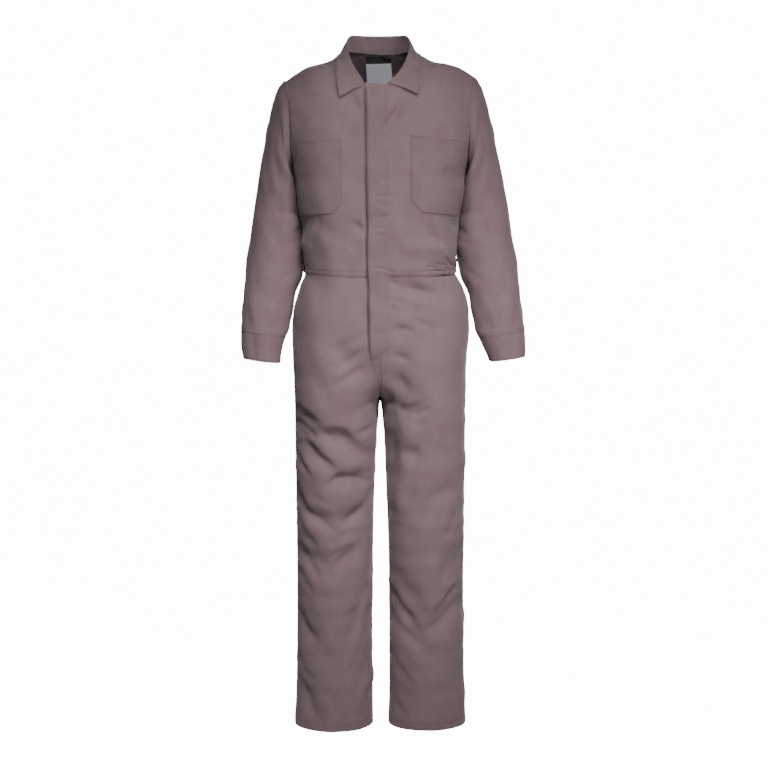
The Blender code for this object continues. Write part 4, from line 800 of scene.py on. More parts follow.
def panel_columns(piece, face, side, up, near_start, near_end, cell=CELL, mouth=0.0):
    """Places across each row of a panel, at even distances, those distances, and where the row ends.

    mouth is how far the mouth of a pocket draws the side edge in, at each row.
    """
    samples = np.linspace(0.0, 1.0, 81)
    run = lengths(smooth_form(piece, face, side, samples[None, :], up[:, None]), 1)
    total = run[:, -1] - mouth
    cells = int(round((total.mean() - near_start[-1] - near_end[-1]) / cell))
    distances = np.stack([spaced(length, cells, near_start, near_end) for length in total])
    across, ends = (np.stack([np.interp(goal, own, samples) for goal, own in zip(goals, run)])
                    for goals in (distances, total))
    return across, distances, ends


def grid_normals(grid, closed=False):
    """Normals of a grid of points, in the direction of its columns times its rows."""
    if closed:
        over = np.roll(grid, -1, axis=1) - np.roll(grid, 1, axis=1)
    else:
        over = np.gradient(grid, axis=1)
    return unit(np.cross(over, np.gradient(grid, axis=0)))


class Cloth:
    """A sheet's outer face as a grid, with its normals and the distances along it."""

    def __init__(self, grid, normals, over, down, closed=False):
        self.grid, self.normals, self.closed = grid, normals, closed
        self.over, self.down = over, down
        self.outer, self.inner = grid, grid - normals * CLOTH
        self.row_turned = np.zeros(grid.shape[0], bool)
        self.column_turned = np.zeros(grid.shape[1], bool)
        self.grain = np.stack([over, down, np.zeros(over.shape)], axis=-1)

    def attach(self, outer, inner, axis, at_start):
        """Adds turned-in rows or columns at an edge."""
        count = outer.shape[axis]
        grain = np.repeat(self.grain.take([0 if at_start else -1], axis=axis), count, axis=axis)
        steps = np.cumsum(np.full(count, TURNED_STEP))
        if at_start:
            outer, inner, steps = np.flip(outer, axis), np.flip(inner, axis), -steps[::-1]
        grain[..., 1 - axis] += steps[:, None] if axis == 0 else steps

        def joined(new, old):
            return np.concatenate([new, old] if at_start else [old, new], axis=min(axis, old.ndim - 1))

        self.outer, self.inner = joined(outer, self.outer), joined(inner, self.inner)
        self.grain = joined(grain, self.grain)
        if axis == 0:
            self.row_turned = joined(np.ones(count, bool), self.row_turned)
        else:
            self.column_turned = joined(np.ones(count, bool), self.column_turned)

    def skipped(self):
        """Cells at the corners, where rows and columns are both turned in."""
        rows = self.row_turned[:-1] | self.row_turned[1:]
        turned = self.column_turned
        columns = turned | np.roll(turned, -1) if self.closed else turned[:-1] | turned[1:]
        return rows[:, None] & columns[None, :]


def turn_in(cloth, edge, axis, at_start, down=None):
    """Turns an edge of the cloth in at a seam.  edge is the seam's line."""
    near, normals = (face.take(0 if at_start else -1, axis=axis) for face in (cloth.grid, cloth.normals))
    down = -normals if down is None else down
    out = edge - near
    out = out - normals * (out * normals).sum(axis=1, keepdims=True)
    reach = np.maximum(np.linalg.norm(out, axis=1, keepdims=True) - SEAM_GAP / 2.0, LEAST_REACH)
    inner_reach = np.maximum(reach - CLOTH, LEAST_REACH / 2.0)
    out = unit(out)
    outer, inner = [], []
    for angle in (math.pi / 6.0, math.pi / 3.0, math.pi / 2.0):
        outer.append(near - normals * SEAM_RADIUS * (1.0 - math.cos(angle)) + out * reach * math.sin(angle))
        inner.append(near - normals * (SEAM_RADIUS - (SEAM_RADIUS - CLOTH) * math.cos(angle))
                     + out * inner_reach * math.sin(angle))
    for depth in ALLOWANCE:
        outer.append(outer[2] + down * depth)
        inner.append(inner[2] + down * depth)
    attach_lines(cloth, outer, inner, axis, at_start)


def turn_up(cloth, edge, length):
    """Turns the last rows of the cloth up inside as a hem."""
    grid, normals = cloth.grid[::-1], cloth.normals[::-1]
    up = (cloth.down[-1] - cloth.down)[::-1]
    near, radius = grid[0], CLOTH + LAYER_GAP / 2.0
    out = edge - near
    out = out - normals[0] * (out * normals[0]).sum(axis=1, keepdims=True)
    reach = np.maximum(np.linalg.norm(out, axis=1, keepdims=True), LEAST_REACH)
    out = unit(out)
    outer, inner = [], []
    for angle in np.linspace(math.pi / 6.0, math.pi, 6):
        outer.append(near - normals[0] * radius * (1.0 - math.cos(angle)) + out * reach * math.sin(angle))
        inner.append(near - normals[0] * (radius - LAYER_GAP / 2.0 * math.cos(angle))
                     + out * np.minimum(LAYER_GAP / 2.0, reach) * math.sin(angle))
    for row in range(1, len(grid)):
        if up[row].mean() > length:
            break
        outer.append(grid[row] - normals[row] * 2.0 * radius)
        inner.append(grid[row] - normals[row] * (radius + LAYER_GAP / 2.0))
    attach_lines(cloth, outer, inner, 0, False)


def attach_lines(cloth, outer, inner, axis, at_start):
    """Adds turned-in lines at an edge, as wide as the columns that are already turned in."""
    outer, inner = np.stack(outer, axis=axis), np.stack(inner, axis=axis)
    if axis == 0 and outer.shape[1] != cloth.outer.shape[1]:
        first, last = int(np.argmin(cloth.column_turned)), int(np.argmin(cloth.column_turned[::-1]))
        outer, inner = (np.pad(lines, ((0, 0), (first, last), (0, 0)), "edge") for lines in (outer, inner))
    cloth.attach(outer, inner, axis, at_start)


def shell_faces(ids, skip=None):
    """Quads of a grid of vertices, but for the skipped cells."""
    quads = np.stack([ids[:-1, :-1], ids[:-1, 1:], ids[1:, 1:], ids[1:, :-1]], axis=-1)
    return quads.reshape(-1, 4) if skip is None else quads[~skip]


def add_mesh(name, vertices, quads, material, grain=None, shaded_reverse=None, reversed_faces=None):
    """A mesh object from arrays, shaded smooth but for its sharp rims."""
    corners = vertices[quads]
    across = np.cross(corners[:, 1] - corners[:, 0], corners[:, 2] - corners[:, 0])
    across += np.cross(corners[:, 2] - corners[:, 0], corners[:, 3] - corners[:, 0])
    if (corners.mean(axis=1) * across).sum() < 0.0:
        quads = quads[:, ::-1]
    mesh = bpy.data.meshes.new(name)
    mesh.vertices.add(len(vertices))
    mesh.vertices.foreach_set("co", vertices.astype(np.float32).ravel())
    mesh.loops.add(quads.size)
    mesh.loops.foreach_set("vertex_index", quads.astype(np.int32).ravel())
    mesh.polygons.add(len(quads))
    mesh.polygons.foreach_set("loop_start", np.arange(0, quads.size, 4, dtype=np.int32))
    mesh.update(calc_edges=True)
    mesh.shade_smooth()
    mesh.set_sharp_from_angle(angle=math.radians(SHARP_ANGLE))
    if grain is not None:
        layer = mesh.attributes.new("grain", "FLOAT_VECTOR", "POINT")
        layer.data.foreach_set("vector", grain.astype(np.float32).ravel())
    mesh.materials.append(material)
    # The second material paints shade: the twill darkened for the inside of the garment, on the faces that
    # the mask marks.
    if shaded_reverse is not None:
        mesh.materials.append(shaded_reverse)
        mesh.polygons.foreach_set("material_index", reversed_faces.astype(np.int32))
    piece = bpy.data.objects.new(name, mesh)
    bpy.context.scene.collection.objects.link(piece)
    return piece


def add_shell(name, outer, inner, material, grain=None, skip=None, closed=False, joins=(), shaded_reverse=None):
    """One closed thin wall between two grids.  joins makes columns one along some of the rows."""
    rows, columns = outer.shape[:2]
    ids = np.arange(rows * columns).reshape(rows, columns)
    for kept_rows, column, same_as in joins:
        ids[kept_rows, column] = ids[kept_rows, same_as]
    if closed:
        ids = np.concatenate([ids, ids[:, :1]], axis=1)
    quads = shell_faces(ids, skip)
    starts, ends = quads.ravel(), np.roll(quads, -1, axis=1).ravel()
    count = rows * columns
    loose = ~np.isin(starts * count + ends, ends * count + starts)
    starts, ends = starts[loose], ends[loose]
    rim = np.stack([ends, starts, starts + count, ends + count], axis=-1)
    # Inner faces are marked for the second material, the painted shade of the inside.
    inside = np.repeat([0, 1, 0], [len(quads), len(quads), len(rim)])
    quads = np.concatenate([quads, quads[:, ::-1] + count, rim])
    used, quads = np.unique(quads, return_inverse=True)
    vertices = np.concatenate([outer.reshape(-1, 3), inner.reshape(-1, 3)])[used]
    if grain is not None:
        grain = np.concatenate([grain.reshape(-1, 3)] * 2)[used]
    piece = add_mesh(name, vertices, quads.reshape(-1, 4), material, grain, shaded_reverse, inside)
    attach(piece, "root")
    return piece


def build(name, cloth, material, shaded_reverse=None):
    return add_shell(name, cloth.outer, cloth.inner, material, cloth.grain, cloth.skipped(), cloth.closed,
                     shaded_reverse=shaded_reverse)


def make_panel(piece, face, side, up, down, across, over, seams):
    """A panel as a Cloth, with the pull of its seams."""
    grid = cloth_form(piece, face, side, across, up[:, None])
    turn = outward_turn(piece, face, side)
    run_down = np.broadcast_to(down[:, None], over.shape)
    by_seam = {"first_row": (over, run_down - run_down[0]), "last_row": (over, run_down[-1] - run_down),
               "first_column": (run_down, over), "last_column": (run_down, over[:, -1:] - over)}
    pull = np.zeros(over.shape)
    for seam in seams:
        run, gap = by_seam[seam]
        pull += seam_pull(run + 0.37 * len(seam), gap)
    grid = grid - grid_normals(grid) * turn * (PUCKER_DEPTH * pull)[..., None]
    return Cloth(grid, grid_normals(grid) * turn, over, np.array(run_down))


def armhole(side, count=110):
    """Points round an armhole, from the shoulder down the front and up the back, evenly spaced."""
    front, back = (settled_form("bodice", face, side, 1.0,
                                np.linspace(UNDERARM_LEVEL / LAST_ROW[face], 1.0, 120)) for face in FACES)
    return evenly(np.concatenate([front[::-1], back[1:]]), count + 1)[:-1]


def radial(points, middle):
    """Directions from the middle of an armhole to its points."""
    return unit((points - middle) * np.array([0.0, 1.0, 1.0]))


SLEEVE_RINGS = 15
ROUND_COLUMNS = 110            # columns round a sleeve
SLEEVE_GIRTH_RADIUS = 0.066
SLEEVE_LENGTH = 0.60
FLAT_CUFF = 0.8                # girth of the cuff over that of the sleeve
SLEEVE_FULLER = 0.0025         # how far the inner line of the sleeve stands in, at its foot
CUFF_FULLER = 0.0035           # and how much more at the foot of the cuff
RIGHT_CUFF_DROP = (0.0045, 0.0035)             # of its outer and its inner point


def ring_frame(table, side, share):
    """Middle, outward reach and half depth of a sleeve's ring."""
    suffix = "_right" if side < 0 else "_left"
    share = np.asarray(share, float)
    outer, inner = (np.array([side * along(table["x_" + edge + suffix], share), 0.0,
                              along(table["z_" + edge], share)]) for edge in ("out", "in"))
    fuller = SLEEVE_FULLER * smooth_step((share - 0.8) / 0.2)
    if table is CUFF_TABLE:
        fuller = SLEEVE_FULLER + CUFF_FULLER * share
        if side < 0.0:
            for point, drop in zip((outer, inner), RIGHT_CUFF_DROP):
                point[2] -= drop * share
    inner[0] = inner[0] - side * fuller
    middle = (outer + inner) / 2.0
    middle[1] = along(table["y_mid"], share)
    return middle, (outer - inner) / 2.0, along(table["half_depth"], share)


def sleeve_ring(table, side, share, angles):
    middle, reach, depth = ring_frame(table, side, share)
    ring = middle + np.cos(angles)[:, None] * reach
    ring[:, 1] -= np.sin(angles) * depth
    return ring


def even_angles(count):
    return np.arange(count) * TURN / count


def armhole_angles(side, loop):
    """Angle of each armhole point on the sleeve's first oval."""
    middle, reach, depth = ring_frame(SLEEVE_TABLE, side, 0.0)
    outward = (loop - middle) @ reach / (reach @ reach)
    forward = (middle[1] - loop[:, 1]) / depth
    angles = np.unwrap(np.arctan2(forward, outward))
    return angles - TURN * round(angles[0] / TURN)


def sleeve_depth(angle, share, side):
    """How far the sleeve's creases and slow waves move it out."""
    scale = np.array([SLEEVE_GIRTH_RADIUS, SLEEVE_LENGTH])
    places = np.stack([angle, share], axis=-1) * scale
    girth = TURN * SLEEVE_GIRTH_RADIUS
    depth = np.zeros(share.shape)
    for angle_start, share_start, angle_end, share_end, width, height in SLEEVE_CREASES:
        start = np.array([math.radians(angle_start), share_start]) * scale
        run = np.array([math.radians(angle_end), share_end]) * scale - start
        offset = places - start
        offset[..., 0] -= girth * np.round((offset[..., 0] - run[0] / 2.0) / girth)
        part = np.clip(offset @ run / (run @ run), 0.0, 1.0)
        away = offset - part[..., None] * run
        away[..., 1] += 0.006 * np.sin(part * math.pi)
        ends = np.sin(math.pi * np.clip(part, 0.06, 0.94)) ** 0.7
        depth += height * ends * bell(np.linalg.norm(away, axis=-1), width)
    outside = np.maximum(np.cos(angle), 0.0) ** 2 * smooth_step(share / 0.2)
    outside *= smooth_step((0.9 - share) / 0.3)
    head = np.maximum(np.sin(angle), 0.0) * bell(share, 0.05)
    depth += 0.0010 * smooth_step(share / 0.1) - 0.0026 * head + (0.0030 * outside if side > 0.0 else 0.0)
    towards_body = smooth_step((-np.cos(angle) + 0.05) / 0.6)
    fill, end = (0.0080, 0.600) if side > 0.0 else (0.0068, 0.585)
    depth += fill * towards_body * smooth_step((share - 0.01) / 0.06) * smooth_step((end - share) / 0.08)
    waves = wavy(places, WAVES["sleeve"]) * smooth_step(share / 0.05) * smooth_step((1.0 - share) / 0.04)
    return depth + waves


def spaced_down(run, near_end):
    """Distances of the rows of a tube from its first seam to its end."""
    cells = int(round((run[-1] - NEAR_SEAM[-1] - near_end[-1]) / CELL))
    return spaced(run[-1], cells, NEAR_SEAM, near_end)


def make_sleeve(side, tree):
    """The sleeve as a Cloth from its armhole to the cuff seam, and the armhole's line."""
    loop = armhole(side, ROUND_COLUMNS)
    start = armhole_angles(side, loop)
    first = sleeve_ring(SLEEVE_TABLE, side, 0.0, start)
    misfit = (loop - loop.mean(axis=0)) - (first - first.mean(axis=0))
    shares = np.linspace(0.0, 1.0, SLEEVE_RINGS)
    angles = [start + (even_angles(len(loop)) - start) * smooth_step(share / ANGLE_EASE) for share in shares]
    rings = [sleeve_ring(SLEEVE_TABLE, side, share, angle)
             + misfit * 0.6 * (1.0 - smooth_step(share / RING_EASE)) for share, angle in zip(shares, angles)]
    rings, angles = np.stack([loop, *rings]), np.stack([start, *angles])
    fine = np.linspace(0.0, len(rings) - 1.0, 300)
    run = lengths(through(rings, fine), 0).mean(axis=1)
    down = spaced_down(run, NEAR_SEAM)
    places = np.interp(down, run, fine)
    grid, angle = through(rings, places), through(angles[..., None], places)[..., 0]
    over, run_down = angle * SLEEVE_GIRTH_RADIUS, np.repeat(down[:, None], grid.shape[1], 1)
    share = run_down / run[-1]
    pull = PUCKER_DEPTH * seam_pull(over, np.minimum(share, 1.0 - share) * run[-1])
    grid = grid + grid_normals(grid, True) * side * (sleeve_depth(angle, share, side) - pull)[..., None]
    facing_body = (np.cos(angle) < -0.25) & (share > 0.03)
    grid[facing_body] = stand_off(grid[facing_body], tree, CLOTH)
    return Cloth(grid, grid_normals(grid, True) * side, over, run_down, True), loop


def make_cuff(side):
    """The cuff as a Cloth from its seam to its lower edge."""
    angles = even_angles(ROUND_COLUMNS)
    fine = np.linspace(0.0, 1.0, 60)
    run = lengths(np.stack([sleeve_ring(CUFF_TABLE, side, share, angles) for share in fine]), 0).mean(axis=1)
    down = spaced_down(run, NEAR_HEM)
    grid = np.stack([sleeve_ring(CUFF_TABLE, side, share, angles) for share in np.interp(down, run, fine)])
    over = np.repeat((angles * SLEEVE_GIRTH_RADIUS * FLAT_CUFF)[None, :], len(down), 0)
    run_down = np.repeat(down[:, None], len(angles), 1)
    fold = (0.0016 * bell(angles - math.radians(70.0), 0.16)
            + 0.0010 * bell(angles - math.radians(125.0), 0.22))
    depth = (wavy(np.stack([over, run_down], axis=-1), WAVES["sleeve"]) - fold
             - PUCKER_DEPTH * seam_pull(over, run_down))
    grid = grid + grid_normals(grid, True) * side * depth[..., None]
    return Cloth(grid, grid_normals(grid, True) * side, over, run_down, True)


def surface_tree(clothes, depth=0.0):
    """A search tree over several sheets, on their outer faces or at a depth below them."""
    vertices, faces, first = [], [], 0
    for cloth, flip in clothes:
        rows, columns = cloth.grid.shape[:2]
        quads = shell_faces(np.arange(rows * columns).reshape(rows, columns) + first)
        faces += (quads[:, ::-1] if flip else quads).tolist()
        vertices += [Vector(point) for point in (cloth.grid - cloth.normals * depth).reshape(-1, 3)]
        first += rows * columns
    return BVHTree.FromPolygons(vertices, faces)


def stand_off(points, tree, clearance, reach=0.02):
    """Move points out until they clear the faces of a tree."""
    moved = points.copy()
    clearance = np.broadcast_to(clearance, points.shape[:-1])
    for index in np.ndindex(points.shape[:-1]):
        for _ in range(3):
            place, normal, _, distance = tree.find_nearest(Vector(moved[index]))
            height = (Vector(moved[index]) - place).dot(normal)
            if height >= clearance[index] or distance > reach:
                break
            moved[index] += np.array(normal) * (clearance[index] - height)
    return moved


def front_cloth(x, z):
    """Points and normals of the dressed front at x and z, on the bodice or on a leg."""
    x, z = np.broadcast_arrays(np.asarray(x, float), np.asarray(z, float))
    points = np.zeros(x.shape + (3,))
    normals = np.zeros(x.shape + (3,))
    table = PANELS["bodice", "front"]
    above = z > np.interp(np.abs(x), [0.0, table["x_side"][0]], [table["z_centre"][0], table["z_side"][0]])
    for side, _ in SIDES:
        for piece in ("bodice", "leg"):
            mine = ((x >= 0.0) == (side > 0.0)) & (above == (piece == "bodice"))
            if mine.any():
                across, up = locate(piece, "front", side, x[mine], z[mine])
                points[mine] = cloth_form(piece, "front", side, across, up)
                normals[mine] = form_normals(piece, "front", side, across, up)
    return points, normals


def softened(outer, inner, edges):
    """Draws the rims of a two-faced wall together, so that its edges are round."""
    outer, inner = outer.copy(), inner.copy()
    for edge in edges:
        top, under = ({"first_row": face, "last_row": face[::-1], "first_column": face.transpose(1, 0, 2),
                       "last_column": face.transpose(1, 0, 2)[::-1]}[edge] for face in (outer, inner))
        middle = (top[0] + under[0]) / 2.0
        top[0], under[0] = (middle + (face[0] - middle) * 0.35 for face in (top, under))
    return outer, inner


ALL_EDGES = ("first_row", "last_row", "first_column", "last_column")
FAR_FROM_SEAM = 0.03           # distance to a seam where the weave isn't worn


def edge_places(count, length, near=0.0005, second=0.0014):
    """Shares from 0 to 1 with two close steps at each end."""
    near, second = near / length, second / length
    inner = np.linspace(second * 2.2, 1.0 - second * 2.2, count)
    return np.concatenate([[0.0, near, second], inner, [1.0 - second, 1.0 - near, 1.0]])


def patch_grain(points):
    seam = np.full(points.shape[:2], FAR_FROM_SEAM)
    return np.stack([lengths(points, 1), lengths(points, 0), seam], axis=-1)


def add_patch(name, points, normals, lift, wall, material):
    """A piece that lies on the fronts, with round edges."""
    under = points + normals * lift[..., None]
    outer, under = softened(under + normals * (wall * np.ones(lift.shape))[..., None], under, ALL_EDGES)
    return add_shell(name + "_cloth", outer, under, material, patch_grain(points)), outer


def make_fly(material):
    """The flap over the closure.  Its free edge stands a little off, and it ends at its row of stitching."""
    top, _, foot = FLY_LEVELS
    length = top - foot
    down, share = edge_places(200, length)[:, None], edge_places(18, 0.045)[None, :]
    z = top - down * length
    free, sewn = fly_edge(FLY_FREE_EDGE, z), fly_edge(FLY_SEWN_EDGE, z)
    sway = (0.0006 * np.sin(z * 43.0) + 0.0004 * np.sin(z * 91.0 + 1.0)) * (1.0 - share)
    x = free + sway + (sewn + 0.004 - free) * share
    z = z - 0.010 * smooth_step((down - 0.9) / 0.1) * (1.0 - 3.0 * share ** 2)
    on_panel = np.minimum(z, FLY_TOP_OF_PANEL)
    points, normals = front_cloth(x, on_panel)
    points = points + (z - on_panel)[..., None] * np.array([0.0, FLY_TOP_LEAN, 1.0])
    free_side = (1.0 - share) ** 1.3
    lift = 0.0004 + 0.0058 * free_side * (1.0 + 0.30 * np.sin(z * 37.0) + 0.2 * np.sin(z * 83.0))
    sunk = np.minimum(smooth_step((1.0 - share) / 0.16), smooth_step((1.0 - down) * length / 0.020))
    return add_patch("fly", points, normals, lift * sunk - 0.0006 * (1.0 - sunk), 0.0003 + 0.0012 * sunk,
                     material)


def make_pocket(name, size, material):
    """A chest pocket with a turned-in chamfer, sewn down on three sides and a little open at its mouth."""
    width = abs(size["x_outer_bottom"] - size["x_inner"])
    height = size["z_top_inner"] - size["z_bottom_inner"]
    across, down = edge_places(34, width)[None, :], edge_places(46, height)[:, None]
    top = size["z_top_inner"] + (size["z_top_outer"] - size["z_top_inner"]) * across
    bottom = size["z_bottom_inner"] + (size["z_bottom_outer"] - size["z_bottom_inner"]) * across
    bottom = bottom + np.maximum(0.0, size["chamfer"] - across * width)
    outer_edge = size["x_outer_top"] + (size["x_outer_bottom"] - size["x_outer_top"]) * down
    x = size["x_inner"] + (outer_edge - size["x_inner"]) * across
    z = top + (bottom - top) * down
    points, normals = front_cloth(x, z)
    edges = np.minimum(np.minimum(across, 1.0 - across) * width, (1.0 - down) * height)
    belly = np.sin(math.pi * across) ** 0.8 * (0.35 + 0.65 * np.sin(math.pi * np.minimum(down * 0.9, 1.0)))
    lift = (0.0005 + 0.0013 * belly + 0.0009 * bell(down * height, 0.012) * np.sin(math.pi * across)
            + 0.0004 * (1.0 - smooth_step((edges - 0.0085) / 0.0015))
            - 0.0003 * (0.5 + 0.5 * puckers(x + z)) * bell(edges, 0.006))
    return add_patch(name, points, normals, np.maximum(lift, 0.0004), PATCH_WALL, material)


def make_elastic(material):
    """The gathered band round the back waist, drawn in between its rows of stitching."""
    back = PANELS["bodice", "back"]["z_mid"]
    low, high = (share_at(back, level) for level in (WAIST_LEVEL + ELASTIC_RISE,
                                                     WAIST_LEVEL + ELASTIC_RISE + ELASTIC_HEIGHT))
    heights = np.linspace(0.0, 1.0, 22)[:, None]
    across, up = np.broadcast_arrays(np.linspace(0.0, 1.0, 150)[None, :], low + (high - low) * heights)
    halves = [[shape("bodice", "back", side, across, up) for shape in (cloth_form, form_normals)]
              for side, _ in SIDES]
    points, normals = (np.concatenate([right[:, :0:-1], left], axis=1) for right, left in zip(*halves))
    run = lengths(points, 1)
    between = np.abs(np.sin(math.pi * 3.0 * heights)) ** 0.8
    drift = run + 0.0012 * np.sin(heights * 9.0 + run * 60.0)
    folds = np.sin(drift * TURN / 0.0068 + 1.6 * np.sin(run * 71.0)) * (0.75 + 0.25 * np.sin(run * 53.0))
    lift = 0.0012 + between * (0.0007 + 0.0009 * folds) + 0.0003 * folds
    return add_patch("waist_elastic", points, normals, np.maximum(lift, 0.0006), PATCH_WALL, material)


COLLAR_WALL = 0.0018
COLLAR_GAP = 0.0005
COLLAR_START = {-1.0: 0.98, 1.0: 0.60}      # rows of the neckline from the front edge to the collar's end
COLLAR_END_REACH = 0.17
COLLAR_ROLL_END = {-1.0: (-0.0075, 0.0, -0.0100), 1.0: (-0.0010, 0.0, -0.0030)}
COLLAR_POINT_END = {-1.0: (0.0, 0.0, 0.0), 1.0: (0.0, 0.0, 0.0080)}
SHOULDER, NAPE = 4.0, 8.0      # places along half a neck seam, whose front end is 0
FALL_FROM = 4.2                # place down a collar's section where it turns outwards


def neck_seam(side, places):
    """Outer and inner line of the neck seam, from the collar's front end to the nape."""
    start, rows = COLLAR_START[side], LAST_ROW["front"] - NECK_FOOT_LEVEL
    to_shoulder = np.minimum(places, SHOULDER) / SHOULDER
    to_nape = np.maximum(places - SHOULDER, 0.0) / SHOULDER
    shares = {"front": (NECK_FOOT_LEVEL + start + (rows - start) * to_shoulder) / LAST_ROW["front"],
              "back": (LAST_ROW["back"] - (LAST_ROW["back"] - NAPE_LEVEL) * to_nape) / LAST_ROW["back"]}
    lines = {face: cloth_form("bodice", face, side, 0.0, share) for face, share in shares.items()}
    points = np.where((places <= SHOULDER)[:, None], lines["front"], lines["back"])
    beside = np.full(len(places), 0.02)
    front_normals, back_normals = (form_normals("bodice", face, side, beside, shares[face]) for face in FACES)
    mix = smooth_step(places - SHOULDER + 0.5)[:, None]
    normals = unit(front_normals * (1.0 - mix) + back_normals * mix)
    away = unit(np.cross(np.gradient(points, axis=0), normals))
    away *= np.sign(((np.array(NECK_MIDDLE) - points) * away).sum(axis=1, keepdims=True))
    outer = points + away * COLLAR_GAP
    return outer, outer - normals * CLOTH


def collar_lines(side):
    """Half a collar as lines from the neck seam to the edge of its fall, and the seam's outer line."""
    places = np.concatenate([[0.0, 0.008, 0.022], np.linspace(0.06, NAPE, 104)])
    outer_seam, inner_seam = neck_seam(side, places)
    share = np.interp(places, [0.0, SHOULDER, NAPE], [0.0, NECK_FRONT_SHARE, 1.0])
    near_end = (np.clip(1.0 - share / COLLAR_END_REACH, 0.0, 1.0) ** 2)[:, None]
    mirror, shift = np.array([side, 1.0, 1.0]), np.array([NECK_SHIFT, 0.0, 0.0])
    roll, edge = (corner(COLLAR_TABLE, name, share) * mirror + shift + near_end * np.array(end[side])
                  for name, end in (("roll", COLLAR_ROLL_END), ("edge", COLLAR_POINT_END)))
    out = unit((edge - roll) * np.array([1.0, 1.0, 0.0]))
    crown = unit(np.cross(np.cross(edge - roll, out), edge - roll))
    start = roll + out * 0.0045
    lines = [inner_seam + (roll - inner_seam) * part for part in (0.0, 0.45, 0.88)]
    lines += [roll + out * 0.0016 + np.array([0.0, 0.0, 0.0010]), roll + out * 0.0040 + (edge - roll) * 0.02]
    lines += [start + (edge - start) * part + crown * 0.012 * part * (1.0 - part)
              for part in (0.25, 0.5, 0.75, 1.0)]
    return np.stack(lines), outer_seam[None]


def even_out(lines, first, last, times):
    """Smooths the points of several lines from first to last along them, in place."""
    for _ in range(times):
        beside = lines[:, first + 1:last + 1] + lines[:, first - 1:last - 1]
        lines[:, first:last] = lines[:, first:last] * 0.5 + beside * 0.25


def make_collar(material, tree):
    """The collar, from the neck seam up its stand, over the roll and down its fall."""
    section, outer_seam = (np.concatenate([right, left[:, -2::-1]], axis=1)
                           for right, left in zip(*(collar_lines(side) for side, _ in SIDES)))
    middle = section.shape[1] // 2
    for lines, times in ((section[2:], 60), (section[:2], 16), (outer_seam, 16)):
        even_out(lines, middle - 14, middle + 15, times)
    places = np.concatenate([np.linspace(0.0, 2.0, 12)[:-1], np.linspace(2.0, 4.5, 16)[:-1],
                             np.linspace(4.5, 7.86, 20), [7.94, 7.98, 8.0]])
    grid = through(section, places)
    fall = smooth_step((places - 4.0) / 1.5) * ((places - 4.0) / 4.0).clip(0.0, 1.0)
    around = lengths(grid, 1).mean(axis=0)
    ripple = 0.0006 * np.sin(around * 41.0) + 0.0004 * np.sin(around * 97.0 + 1.3)
    normals = grid_normals(grid)
    normals *= np.sign(normals[6, :, 2].mean())
    grid = grid + normals * (ripple * fall[:, None])[..., None]
    first, last = int(np.argmax(places > FALL_FROM)), len(places) - 5
    at_front = smooth_step((np.abs(np.linspace(-1.0, 1.0, grid.shape[1])) - 0.45) / 0.35)
    lift = 0.0010 + 0.0080 * at_front * smooth_step((places[first:] - FALL_FROM) / 3.6)[:, None]
    for _ in range(3):
        grid[first:] = stand_off(grid[first:], tree, COLLAR_WALL + lift)
        even_out(grid[first:], 1, grid.shape[1] - 1, 10)
        even_out(grid[:, 1:-1].transpose(1, 0, 2), first, last, 4)
    grid[first:] = stand_off(grid[first:], tree, COLLAR_WALL + lift * 0.5)
    even_out(grid[first:], 1, grid.shape[1] - 1, 5)
    normals = grid_normals(grid)
    normals *= np.sign(normals[len(places) * 3 // 4, :, 2].mean())
    lead = smooth_step(places / 0.6)[:, None, None]
    under = (grid - normals * COLLAR_WALL) * lead + outer_seam * (1.0 - lead)
    cleared = stand_off(under[first:], tree, 0.0005)
    small = np.linalg.norm(cleared - under[first:], axis=-1, keepdims=True) < COLLAR_WALL * 0.6
    under[first:] = np.where(small, cleared, under[first:])
    outer, inner = softened(grid, under, ("last_row", "first_column", "last_column"))
    piece = add_shell("collar_cloth", outer, inner, material, patch_grain(grid))
    return piece, Cloth(grid, normals, lengths(grid, 1), lengths(grid, 0))


def make_seat_tape(clothes):
    """The tape inside the middle seam, from the foot of the fly under the crotch and up the back.  Its colour
    is the painted shade of the inside.
    """
    lines = []
    for face in FACES:
        middle = (clothes["leg", face, -1.0].grid[:, 0] + clothes["leg", face, 1.0].grid[:, 0]) / 2.0
        lines.append(middle[(middle[:, 2] > SEAT_TAPE_FOOT) & (middle[:, 2] < SEAT_TAPE_TOP)])
    curve = np.concatenate([lines[0], lines[1][::-1]])
    curve[:, 0] = 0.0
    curve = evenly(curve, 90)
    sideways = np.array([1.0, 0.0, 0.0])
    normals = unit(np.cross(np.gradient(curve, axis=0), sideways))
    normals *= np.sign(normals[45, 2])
    x = np.linspace(-SEAT_TAPE_WIDTH / 2.0, SEAT_TAPE_WIDTH / 2.0, 5)
    points = (curve + normals * SEAT_TAPE_DEPTH)[:, None, :] + x[None, :, None] * sideways
    under = points + normals[:, None, :] * CLOTH
    return add_shell("seat_tape", points, under, shaded_inside_twill, patch_grain(points))


# Sewing thread: stitches of a lockstitch seam, pressed a little into the cloth.
STITCH_PITCH = 0.0032
STITCH_LENGTH = 0.0025
STITCH_RADIUS = 0.00030


